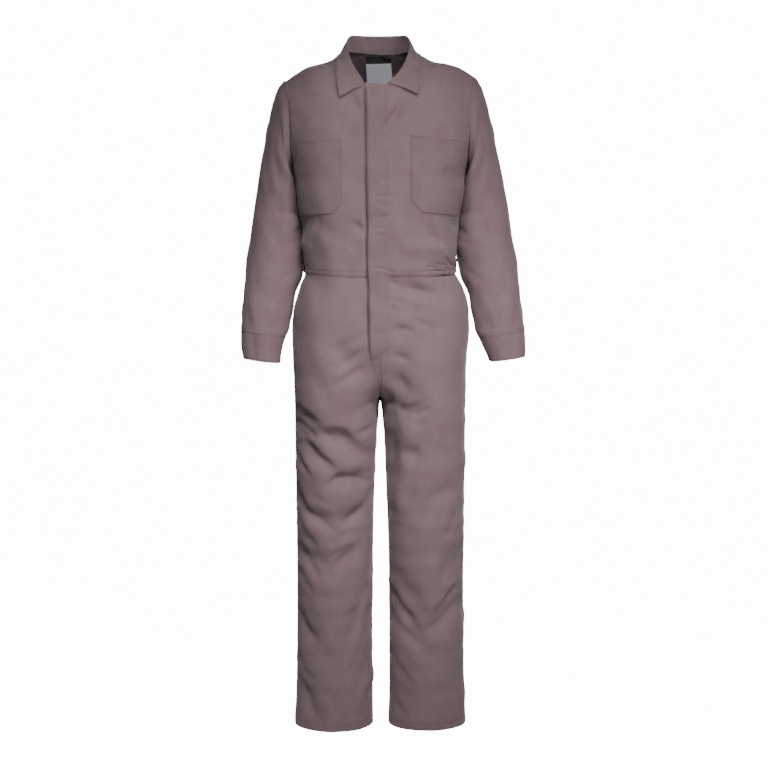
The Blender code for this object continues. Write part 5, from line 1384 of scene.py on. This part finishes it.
def stitched(points, normals):
    """Vertices and quads of the stitches along a line on the cloth."""
    run = lengths(points, 0)
    count = int(run[-1] / STITCH_PITCH)
    starts = (np.arange(count) + 0.5) * run[-1] / count - STITCH_LENGTH / 2.0
    stations = starts[:, None] + STITCH_LENGTH * np.array([0.0, 0.18, 0.82, 1.0])
    centre, normal = (at_places(stations, run, line) for line in (points, normals))
    tangent = unit(centre[:, -1:] - centre[:, :1])
    beside = unit(np.cross(tangent, normal))
    radius = STITCH_RADIUS * np.array([0.45, 1.0, 1.0, 0.45])[None, :, None, None]
    rise = STITCH_RADIUS * np.array([-0.3, 0.5, 0.5, -0.3])[None, :, None, None]
    angles = (np.arange(4) + 0.5) * math.pi / 2.0
    around = np.cos(angles)[:, None] * beside[:, :, None, :] + np.sin(angles)[:, None] * normal[:, :, None, :]
    vertices = (centre[:, :, None, :] + normal[:, :, None, :] * rise + around * radius).reshape(-1, 3)
    ring = np.arange(4)
    sides = np.stack([ring, np.roll(ring, -1), np.roll(ring, -1) + 4, ring + 4], axis=-1)
    one = np.concatenate([sides + 4 * step for step in range(3)] + [ring[None, ::-1], ring[None, :] + 12])
    return vertices, (one[None] + 16 * np.arange(count)[:, None, None]).reshape(-1, 4)


def add_stitches(name, lines, material):
    vertices, quads, first = [], [], 0
    for points, normals in lines:
        more, faces = stitched(points, normals)
        vertices.append(more)
        quads.append(faces + first)
        first += len(more)
    piece = add_mesh(name, np.concatenate(vertices), np.concatenate(quads), material)
    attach(piece, "root")
    return piece


def row_line(cloth, distance, from_end=False):
    """The line on a sheet at a distance from its first or last row."""
    down = cloth.down.mean(axis=1)
    target = down[-1] + NEAR_SEAM[0] - distance if from_end else distance
    place = np.interp(target, down, np.arange(len(down)))
    low = min(int(place), len(down) - 2)
    points, normals = ((1.0 - place + low) * face[low] + (place - low) * face[low + 1]
                       for face in (cloth.grid, cloth.normals))
    if cloth.closed:
        points, normals = (np.concatenate([line, line[:1]]) for line in (points, normals))
    return points, unit(normals)


def column_line(cloth, distance, from_end=False, rows=slice(None)):
    """The line on a sheet at a distance from its first or last column."""
    over = cloth.over[rows]
    target = over[:, -1] + NEAR_SEAM[0] - distance if from_end else np.full(len(over), distance)
    points, normals = (np.stack([at_places(goal, own, line)
                                 for goal, own, line in zip(target, over, face[rows])])
                       for face in (cloth.grid, cloth.normals))
    return points, unit(normals)


# Materials.  "grain" holds the distances along weft and warp, in metres, and a third part that is 0 on the
# panels and FAR_FROM_SEAM on the pieces that lie on them.
def new_material(name, colour, roughness, sheen=0.0):
    material = bpy.data.materials.new(name)
    material.use_nodes = True
    shader = material.node_tree.nodes["Principled BSDF"]
    shader.inputs["Base Color"].default_value = (*colour, 1.0)
    shader.inputs["Roughness"].default_value = roughness
    shader.inputs["Specular IOR Level"].default_value = 0.25
    shader.inputs["Sheen Weight"].default_value = sheen
    shader.inputs["Sheen Roughness"].default_value = 0.5
    return material


class Nodes:
    """Short forms for the nodes of one material."""

    def __init__(self, material):
        self.tree = material.node_tree
        self.shader = self.tree.nodes["Principled BSDF"]

    def link(self, source, target):
        if isinstance(source, bpy.types.NodeSocket):
            self.tree.links.new(source, target)
        else:
            target.default_value = source

    def math(self, operation, *values):
        node = self.tree.nodes.new("ShaderNodeMath")
        node.operation = operation
        for value, socket in zip(values, node.inputs):
            self.link(value, socket)
        return node.outputs[0]

    def grain(self):
        node = self.tree.nodes.new("ShaderNodeAttribute")
        node.attribute_name = "grain"
        parts = self.tree.nodes.new("ShaderNodeSeparateXYZ")
        self.link(node.outputs["Vector"], parts.inputs[0])
        return node.outputs["Vector"], *parts.outputs

    def noise(self, vector, scale, detail=2.0):
        stretch = self.tree.nodes.new("ShaderNodeVectorMath")
        stretch.operation = "MULTIPLY"
        self.link(vector, stretch.inputs[0])
        self.link(scale, stretch.inputs[1])
        node = self.tree.nodes.new("ShaderNodeTexNoise")
        node.inputs["Scale"].default_value = 1.0
        node.inputs["Detail"].default_value = detail
        self.link(stretch.outputs[0], node.inputs["Vector"])
        return node.outputs["Fac"]

    def colour(self, value, stops):
        """Colours the material by a ramp over a value."""
        node = self.tree.nodes.new("ShaderNodeValToRGB")
        elements = node.color_ramp.elements
        while len(elements) < len(stops):
            elements.new(0.5)
        for element, (place, colour) in zip(elements, stops):
            element.position = place
            element.color = (*colour, 1.0)
        self.link(value, node.inputs[0])
        self.link(node.outputs[0], self.shader.inputs["Base Color"])

    def bump(self, height, distance):
        node = self.tree.nodes.new("ShaderNodeBump")
        node.inputs["Distance"].default_value = distance
        node.inputs["Strength"].default_value = 1.0
        self.link(height, node.inputs["Height"])
        self.link(node.outputs[0], self.shader.inputs["Normal"])


CLOTH_COLOUR = (0.186, 0.131, 0.139)
TWILL_PITCH = 0.0011
SATIN_PITCH = 0.0005


def scaled(colour, factor):
    return tuple(channel * factor for channel in colour)


def make_twill(name, colour, sheen):
    """Twill: fine diagonal ribs, uneven threads both ways, and a worn, paler tone where the grain's third
    part is under about 2 mm, which is all over the panels.
    """
    material = new_material(name, colour, 0.86, sheen)
    nodes = Nodes(material)
    vector, weft, warp, seam = nodes.grain()
    rib = nodes.math("SINE", nodes.math("ADD", nodes.math("MULTIPLY", weft, TURN / TWILL_PITCH),
                                        nodes.math("MULTIPLY", warp, TURN / TWILL_PITCH * 0.8)))
    threads = nodes.noise(vector, (1100.0, 22.0, 1.0))
    picks = nodes.noise(vector, (26.0, 1000.0, 1.0))
    cloudy = nodes.noise(vector, (34.0, 22.0, 1.0), 3.0)
    tone = nodes.math("MULTIPLY_ADD", rib, 0.06, 0.5)
    for uneven, weight in ((threads, 0.6), (picks, 0.4), (cloudy, 0.5)):
        uneven = nodes.math("MULTIPLY", nodes.math("SUBTRACT", uneven, 0.5), weight)
        tone = nodes.math("ADD", tone, uneven)
    worn = nodes.math("SUBTRACT", 1.0, nodes.math("MULTIPLY", seam, 450.0))
    tone = nodes.math("ADD", tone, nodes.math("MULTIPLY", nodes.math("MAXIMUM", worn, 0.0), 0.18))
    nodes.colour(tone, [(0.0, scaled(colour, 0.80)), (0.5, colour), (1.0, scaled(colour, 1.20))])
    height = nodes.math("ADD", nodes.math("MULTIPLY", rib, 0.35), threads)
    nodes.bump(nodes.math("ADD", height, nodes.math("MULTIPLY", picks, 0.7)), 0.00007)
    return material


def make_thread(name, colour):
    """Sewing thread, lighter and darker along its twist."""
    material = new_material(name, colour, 0.6, 0.1)
    nodes = Nodes(material)
    place = nodes.tree.nodes.new("ShaderNodeTexCoord").outputs["Object"]
    twist = nodes.noise(place, (2600.0, 2600.0, 2600.0), 1.0)
    nodes.colour(twist, [(0.3, scaled(colour, 0.8)), (0.7, scaled(colour, 1.2))])
    return material


def make_satin(name, colour, roughness):
    """Woven label satin: fine weft ribs."""
    material = new_material(name, colour, roughness, 0.1)
    nodes = Nodes(material)
    vector, _, warp, _ = nodes.grain()
    rib = nodes.math("SINE", nodes.math("MULTIPLY", warp, TURN / SATIN_PITCH))
    threads = nodes.noise(vector, (700.0, 60.0, 1.0))
    tone = nodes.math("ADD", nodes.math("MULTIPLY_ADD", rib, 0.06, 0.2), nodes.math("MULTIPLY", threads, 0.5))
    nodes.colour(tone, [(0.2, scaled(colour, 0.86)), (0.8, scaled(colour, 1.08))])
    nodes.bump(tone, 0.00004)
    return material


twill = make_twill("twill", CLOTH_COLOUR, 0.15)
# The thread is the cloth's own tone-on-tone colour, darkened to half as painted shade of the small grooves
# that the stitches lie in.
shaded_thread = make_thread("shaded_thread", scaled(CLOTH_COLOUR, 0.50))
tape = make_twill("zip_tape_weave", (0.13, 0.102, 0.106), 0.05)
dark_satin = make_satin("dark_satin", (0.004, 0.004, 0.0045), 0.6)
light_satin = make_satin("light_satin", (0.42, 0.42, 0.45), 0.85)
# Painted shade: the cloth's colour darkened to 0.30 for the dark inside of the garment, on the inner faces of
# the fronts and back and on the seat tape.
shaded_inside_twill = make_twill("twill_inside_painted_shade", scaled(CLOTH_COLOUR, 0.30), 0.05)


def waist_line(face, side, across):
    """The seam between the bodice and the legs."""
    return (cloth_form("bodice", face, side, across, 0.0) + cloth_form("leg", face, side, across, 0.0)) / 2.0


NEAR_WAIST = (0.0012, 0.0030, 0.0050, 0.0080, 0.0110, 0.0130, 0.0150, 0.0170, 0.0190, 0.0212, 0.0234,
              0.0256, 0.0280)
TOPSTITCH = (0.0030, 0.0130)   # rows of stitching over the waist seam
WAIST_PUFFS = ((0.0080, 0.0032), (0.0190, 0.0050))     # heights and widths of the cloth between them
ELASTIC_ROWS = (0.0170, 0.0230)                # rows that hold the elastic's end on the front
ELASTIC_ROWS_FROM = 0.104


def side_reach(grid):
    """1 over the cloth and 0 at the side seam, so that the shape there stays on the seam."""
    run = lengths(grid, 1)
    return smooth_step((run[:, -1:] - run) / 0.02)[..., None]


def make_bodice(face, side, middle):
    """One half of the bodice, front or back, with its seams turned in."""
    last = LAST_ROW[face]
    stop, cell = {"front": (NECK_FOOT_LEVEL, FINE_CELL), "back": (NAPE_LEVEL, CELL)}[face]
    up, down = panel_rows("bodice", face, NEAR_WAIST, NEAR_SEAM, (stop / last,), cell)
    across, over, _ = panel_columns("bodice", face, side, up, NEAR_EDGE, NEAR_SEAM, cell)
    cloth = make_panel("bodice", face, side, up, down, across, over, ("first_row", "last_column", "last_row"))
    sunk = sum(bell(down - row, 0.0012) for row in TOPSTITCH)
    puffed = sum(bell(down - height, width) for height, width in WAIST_PUFFS)
    cloth.grid += cloth.normals * (0.0005 * puffed - 0.0006 * sunk)[:, None, None] * side_reach(cloth.grid)
    edge = cloth_form("bodice", face, side, 1.0, up)
    hole = smooth_step((up - UNDERARM_LEVEL / last) / 0.03)[:, None]
    turn_in(cloth, edge, 1, False, unit(-cloth.normals[:, -1] * (1.0 - hole) - radial(edge, middle) * hole))
    turn_in(cloth, waist_line(face, side, across[0]), 0, True)
    turn_in(cloth, settled_form("bodice", face, side, across[-1], 1.0), 0, False)
    return cloth, up


def make_leg(face, side):
    """One leg panel, turned in at its seams and up at its hem, with the mouth of the side pocket."""
    cell = {"front": CELL, "back": COARSE_CELL}[face]
    up, down = panel_rows("leg", face, NEAR_SEAM, NEAR_HEM, cell=cell)
    mouth = 0.0
    if face == "front":
        part = (along(PANELS["leg", face]["z_side"], up) - MOUTH_FOOT) / (MOUTH_TOP - MOUTH_FOOT)
        mouth = MOUTH_WIDTH * np.sin(math.pi * np.clip(part, 0.0, 1.0)) ** 0.7
    across, over, ends = panel_columns("leg", face, side, up, NEAR_SEAM, NEAR_SEAM, cell, mouth)
    cloth = make_panel("leg", face, side, up, down, across, over,
                       ("first_row", "first_column", "last_column"))
    turn_in(cloth, cloth_form("leg", face, side, 0.0, up), 1, True)
    turn_in(cloth, cloth_form("leg", face, side, ends, up), 1, False)
    turn_in(cloth, waist_line(face, side, across[0]), 0, True)
    turn_up(cloth, cloth_form("leg", face, side, across[-1], 1.0), HEM_TURN)
    return cloth


def joined_back(right, left, nape_row):
    """The two halves of the back as one sheet, open above the nape."""
    turned = int(np.argmin(right.row_turned))
    outer, inner, grain = (np.concatenate([getattr(right, part)[:, ::-1], getattr(left, part)], axis=1)
                           for part in ("outer", "inner", "grain"))
    count = right.outer.shape[1]
    grain[:, :count, 0] *= -1.0
    gap = np.ones((outer.shape[0] - 1, 1), bool)
    skip = np.concatenate([right.skipped()[:, ::-1], gap, left.skipped()], axis=1)
    joins = [(slice(0, turned + nape_row + 1), count, count - 1)]
    # The inner faces take the twill darkened as painted shade of the inside.
    return add_shell("back_cloth", outer, inner, twill, grain, skip, False, joins, shaded_inside_twill)


def make_label(name, material, lining):
    """A bare label that hangs inside the back of the neck."""
    (top, foot), tilt = LABEL_LEVELS[name], LABEL_TILT[name]
    x, z = np.meshgrid(np.linspace(-LABEL_HALF_WIDTH, LABEL_HALF_WIDTH, 30), np.linspace(top, foot, 24))
    lean = NAPE_Y + LABEL_LEAN * (LABEL_LEVELS["neck_label"][0] - z)
    curl = 0.0010 * np.sin(x * 70.0 + 0.6) * smooth_step((top - z) / 0.03)
    points = np.stack([x + NECK_SHIFT + tilt * (top - z), lean - curl, z + 0.5 * tilt * x], axis=-1)
    points = stand_off(points, lining, LABEL_CLEARANCE, LABEL_REACH)
    outer, inner = softened(points - np.array([0.0, LABEL_WALL, 0.0]), points, ALL_EDGES)
    return add_shell(name + "_satin", outer, inner, material, patch_grain(points))


def make_facing(side, name):
    """The layer of cloth in the mouth of a side pocket."""
    top, foot = (share_at(PANELS["leg", "front"]["z_side"], level)
                 for level in (MOUTH_TOP + FACING_LAP, MOUTH_FOOT - FACING_LAP))
    up, across = np.broadcast_arrays(np.linspace(top, foot, 48)[:, None],
                                     np.linspace(1.0 - FACING_REACH, 1.0, 16)[None, :])
    points = cloth_form("leg", "front", side, across, up)
    normals = form_normals("leg", "front", side, across, up)
    outer = points - normals * FACING_DEPTH
    outer, inner = softened(outer, outer - normals * CLOTH, ALL_EDGES)
    return add_shell("pocket_facing_" + name + "_cloth", outer, inner, twill, patch_grain(points))


def make_zip():
    """Zip tape behind the front edges, under the fly."""
    z = np.linspace(FLY_LEVELS[0] - 0.012, FLY_LEVELS[2] + 0.010, 150)[:, None]
    points, normals = front_cloth(np.linspace(-ZIP_HALF_WIDTH, ZIP_HALF_WIDTH, 9)[None, :], z)
    points = points - normals * ZIP_DEPTH
    piece = add_shell("zip_tape_weave", points, points - normals * ZIP_WALL, tape, patch_grain(points))
    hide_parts("zip_tape")
    return piece


def main():
    clothes, ups, pieces = {}, {}, {}
    middles = {side: armhole(side).mean(axis=0) for side, _ in SIDES}
    for side, _ in SIDES:
        for face in FACES:
            clothes["bodice", face, side], ups[face] = make_bodice(face, side, middles[side])
            clothes["leg", face, side] = make_leg(face, side)
    outer_faces = [(key, cloth, outward_turn(*key) < 0.0) for key, cloth in clothes.items()]
    body = surface_tree([(cloth, flip) for _, cloth, flip in outer_faces])
    for side, name in SIDES:
        # The fronts' inner faces take the twill darkened as painted shade of the inside.
        pieces["front_" + name] = build("front_%s_cloth" % name, clothes["bodice", "front", side], twill,
                                        shaded_inside_twill)
        for face in FACES:
            key = "leg_%s_%s" % (face, name)
            pieces[key] = build(key + "_cloth", clothes["leg", face, side], twill)
        sleeve, loop = make_sleeve(side, body)
        cuff = make_cuff(side)
        turn_in(sleeve, loop, 0, True, -radial(loop, middles[side]))
        angles = even_angles(ROUND_COLUMNS)
        seam, cuff_edge = (sleeve_ring(CUFF_TABLE, side, share, angles) for share in (0.0, 1.0))
        turn_in(sleeve, seam, 0, False)
        turn_in(cuff, seam, 0, True)
        turn_up(cuff, cuff_edge, CUFF_TURN)
        clothes["sleeve", side], clothes["cuff", side] = sleeve, cuff
        pieces["sleeve_" + name] = build("sleeve_%s_cloth" % name, sleeve, twill)
        pieces["cuff_" + name] = build("cuff_%s_cloth" % name, cuff, twill)
        pieces["pocket_facing_" + name] = make_facing(side, name)
        pieces["chest_pocket_" + name] = make_pocket("chest_pocket_" + name, CHEST_POCKETS[name], twill)[0]
    nape_row = int(np.argmin(np.abs(ups["back"] - NAPE_LEVEL / LAST_ROW["back"])))
    pieces["back"] = joined_back(clothes["bodice", "back", -1.0], clothes["bodice", "back", 1.0], nape_row)
    pieces["fly"], flap = make_fly(twill)
    flap = Cloth(flap, grid_normals(flap), flap[..., 0], flap[..., 2])
    pieces["waist_elastic"] = make_elastic(twill)[0]
    under_collar = [(cloth, flip) for key, cloth, flip in outer_faces if key[0] == "bodice"]
    under_collar.append((flap, flap.normals[..., 1].mean() > 0.0))
    pieces["collar"], collar = make_collar(twill, surface_tree(under_collar))
    lining = surface_tree([(clothes["bodice", "back", side], outward_turn("bodice", "back", side) > 0.0)
                           for side, _ in SIDES], CLOTH)
    for name, material in (("neck_label", dark_satin), ("care_label", light_satin)):
        piece = make_label(name, material, lining)
        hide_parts(name)
    make_zip()
    seat_tape = make_seat_tape(clothes)
    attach(seat_tape, "root")
    for node, piece in pieces.items():
        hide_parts(node)
    add_seam_stitches(clothes, collar)
    return pieces


def add_seam_stitches(clothes, collar):
    """Topstitching along the seams, pockets, fly, collar, cuffs and hems."""
    bodice, legs, arms = [], [], []
    for side, _ in SIDES:
        for face in FACES:
            cloth, leg = clothes["bodice", face, side], clothes["leg", face, side]
            bodice += [row_line(cloth, distance) for distance in TOPSTITCH]
            bodice.append(column_line(cloth, 0.0060, True, slice(len(cloth.grid) * 9 // 20, None)))
            legs += [row_line(leg, HEM_TURN - 0.003, True), column_line(leg, 0.0035)]
            if face == "front" and side > 0.0:
                for distance in ELASTIC_ROWS:
                    points, normals = row_line(cloth, distance)
                    drawn = points[:, 0] > ELASTIC_ROWS_FROM
                    bodice.append((points[drawn], normals[drawn]))
        sleeve, cuff = clothes["sleeve", side], clothes["cuff", side]
        arms += [row_line(sleeve, 0.0065, True), row_line(cuff, 0.0030), row_line(cuff, 0.0060, True)]
    for size in CHEST_POCKETS.values():
        bodice += pocket_stitches(size)
    add_stitches("stitches_bodice", bodice + fly_stitches() + collar_stitches(collar), shaded_thread)
    add_stitches("stitches_legs", legs, shaded_thread)
    add_stitches("stitches_sleeves", arms, shaded_thread)


def on_front(x, z, height):
    """A line on the dressed front and its normals, at a height over the cloth."""
    points, normals = front_cloth(x, z)
    return points + normals * height, normals


POCKET_MARGIN = 0.0022         # from a pocket's edge to its stitches
POCKET_MOUTH_DROP = 0.0025
POCKET_STITCH_HEIGHT, MOUTH_STITCH_HEIGHT = 0.0020, 0.0028     # over the cloth of the fronts
FLY_STITCH_HEIGHT, FOOT_STITCH_HEIGHT = 0.0004, 0.0002
FLY_TURN = ((0.0200, -0.690), (0.0185, -0.712), (0.0130, -0.733), (0.0060, -0.752), (0.0015, -0.772))
FLY_RETURN = ((-0.0205, -0.690), (-0.0180, -0.712), (-0.0120, -0.735), (-0.0060, -0.755), (-0.0018, -0.778))
COLLAR_MARGIN = 0.005


def pocket_stitches(size):
    """A row of stitches round three sides of a chest pocket, and one across its mouth."""
    side = math.copysign(1.0, size["x_inner"])
    inner, foot, top = (abs(size[name]) for name in ("x_inner", "x_outer_bottom", "x_outer_top"))
    chamfer, margin = size["chamfer"], POCKET_MARGIN
    path = evenly(np.array([(inner + margin, size["z_top_inner"] - 0.001),
                            (inner + margin, size["z_bottom_inner"] + chamfer + margin * 0.4),
                            (inner + chamfer + margin * 0.4, size["z_bottom_inner"] + margin),
                            (foot - margin, size["z_bottom_outer"] + margin),
                            (top - margin, size["z_top_outer"] - 0.001)]), 220)
    across = np.linspace(0.02, 0.98, 120)
    z = size["z_top_inner"] + (size["z_top_outer"] - size["z_top_inner"]) * across - POCKET_MOUTH_DROP
    return [on_front(side * path[:, 0], path[:, 1], POCKET_STITCH_HEIGHT),
            on_front(side * (inner + (top - inner) * across), z, MOUTH_STITCH_HEIGHT)]


def fly_stitches():
    """The row that holds the fly down, and the two that draw its foot in."""
    z = np.linspace(FLY_LEVELS[0] - 0.001, FLY_LEVELS[2], 300)
    return [on_front(fly_edge(FLY_SEWN_EDGE, z) - 0.0010, z, FLY_STITCH_HEIGHT),
            *(on_front(*evenly(np.array(corners), 60).T, FOOT_STITCH_HEIGHT)
              for corners in (FLY_TURN, FLY_RETURN))]


def collar_stitches(collar):
    """The row along the edge of the collar's fall."""
    points, normals = (np.stack([at_places(run[-1] - COLLAR_MARGIN, run, line)
                                 for run, line in zip(collar.down.T, face.transpose(1, 0, 2))])
                       for face in (collar.grid, collar.normals))
    return [(points[9:-9], unit(normals)[9:-9])]


PIECES = main()


def camera_only(material_tree, emission, strength):
    """Brightness that only the camera sees, so that a white ground doesn't light the cloth."""
    path = material_tree.nodes.new("ShaderNodeLightPath")
    product = material_tree.nodes.new("ShaderNodeMath")
    product.operation = "MULTIPLY_ADD"
    product.inputs[1].default_value, product.inputs[2].default_value = strength
    material_tree.links.new(path.outputs["Is Camera Ray"], product.inputs[0])
    material_tree.links.new(product.outputs[0], emission)


WHITE = 14.0                   # brightness of the ground behind the suit, for the camera alone
AMBIENT = 0.09
FLOOR_REACH, FLOOR_LEVEL = 30.0, -1.69
# Lights: place, target, size, power, colour, and spread in degrees.
LIGHTS = {
    "key": ((0.15, -2.0, 1.15), (0.02, 0.0, -1.06), (0.9, 0.6), 5.8, (0.98, 0.95, 0.955), 46.0),
    "fill": ((1.5, -2.5, -0.55), (0.0, 0.0, -0.62), (1.2, 0.9), 4.0, (1.0, 0.92, 0.91), 48.0),
    "low_fill": ((-1.6, -2.4, -0.3), (0.0, 0.0, -0.50), (1.2, 1.0), 0.8, (0.95, 0.96, 1.0), 60.0),
    "neck": ((0.05, -1.8, 0.30), (0.0, 0.02, 0.014), (0.3, 0.3), 0.09, (0.96, 0.97, 1.0), 8.0),
    "back_key": ((-0.6, 2.6, 0.30), (0.0, 0.0, -0.90), (1.2, 0.9), 9.0, (1.0, 0.95, 0.94), 50.0),
    "back_fill": ((1.2, 2.5, -0.80), (0.0, 0.0, -0.80), (1.2, 0.9), 5.0, (1.0, 0.95, 0.95), 56.0),
}
CAMERA_PLACE, CAMERA_TARGET = (0.0094, -3.6, -0.436), (0.0094, 0.0, -0.775)
CAMERA_LENS, CAMERA_SENSOR = 71.699, 36.0      # in millimetres


def aimed(name, data, place, target):
    """An object of a lamp or a camera at a place, turned to its target."""
    holder = bpy.data.objects.new(name, data)
    holder.location = place
    holder.rotation_euler = (Vector(target) - Vector(place)).to_track_quat("-Z", "Y").to_euler()
    bpy.context.scene.collection.objects.link(holder)
    return holder


def add_floor():
    mesh = bpy.data.meshes.new("floor")
    mesh.from_pydata([(x * FLOOR_REACH, y * FLOOR_REACH, FLOOR_LEVEL)
                      for x, y in ((-1, -1), (1, -1), (1, 1), (-1, 1))], [], [(0, 1, 2, 3)])
    floor = bpy.data.objects.new("floor", mesh)
    bpy.context.scene.collection.objects.link(floor)
    material = new_material("floor_paint", (0.6, 0.6, 0.6), 0.9)
    shader = material.node_tree.nodes["Principled BSDF"]
    shader.inputs["Emission Color"].default_value = (1.0, 1.0, 1.0, 1.0)
    camera_only(material.node_tree, shader.inputs["Emission Strength"], (WHITE, 0.0))
    mesh.materials.append(material)


def add_studio():
    world = bpy.data.worlds.new("studio")
    bpy.context.scene.world = world
    world.use_nodes = True
    background = world.node_tree.nodes["Background"]
    background.inputs["Color"].default_value = (1.0, 1.0, 1.0, 1.0)
    camera_only(world.node_tree, background.inputs["Strength"], (WHITE, AMBIENT))
    for name, (place, target, size, power, colour, spread) in LIGHTS.items():
        lamp = bpy.data.lights.new(name, "AREA")
        lamp.shape = "RECTANGLE"
        lamp.size, lamp.size_y = size
        lamp.energy = power
        lamp.color = colour
        lamp.spread = math.radians(spread)
        aimed(name, lamp, place, target)


def add_camera():
    camera = bpy.data.cameras.new("camera")
    camera.lens, camera.sensor_width = CAMERA_LENS, CAMERA_SENSOR
    bpy.context.scene.camera = aimed("camera", camera, CAMERA_PLACE, CAMERA_TARGET)


add_floor()
add_studio()
add_camera()
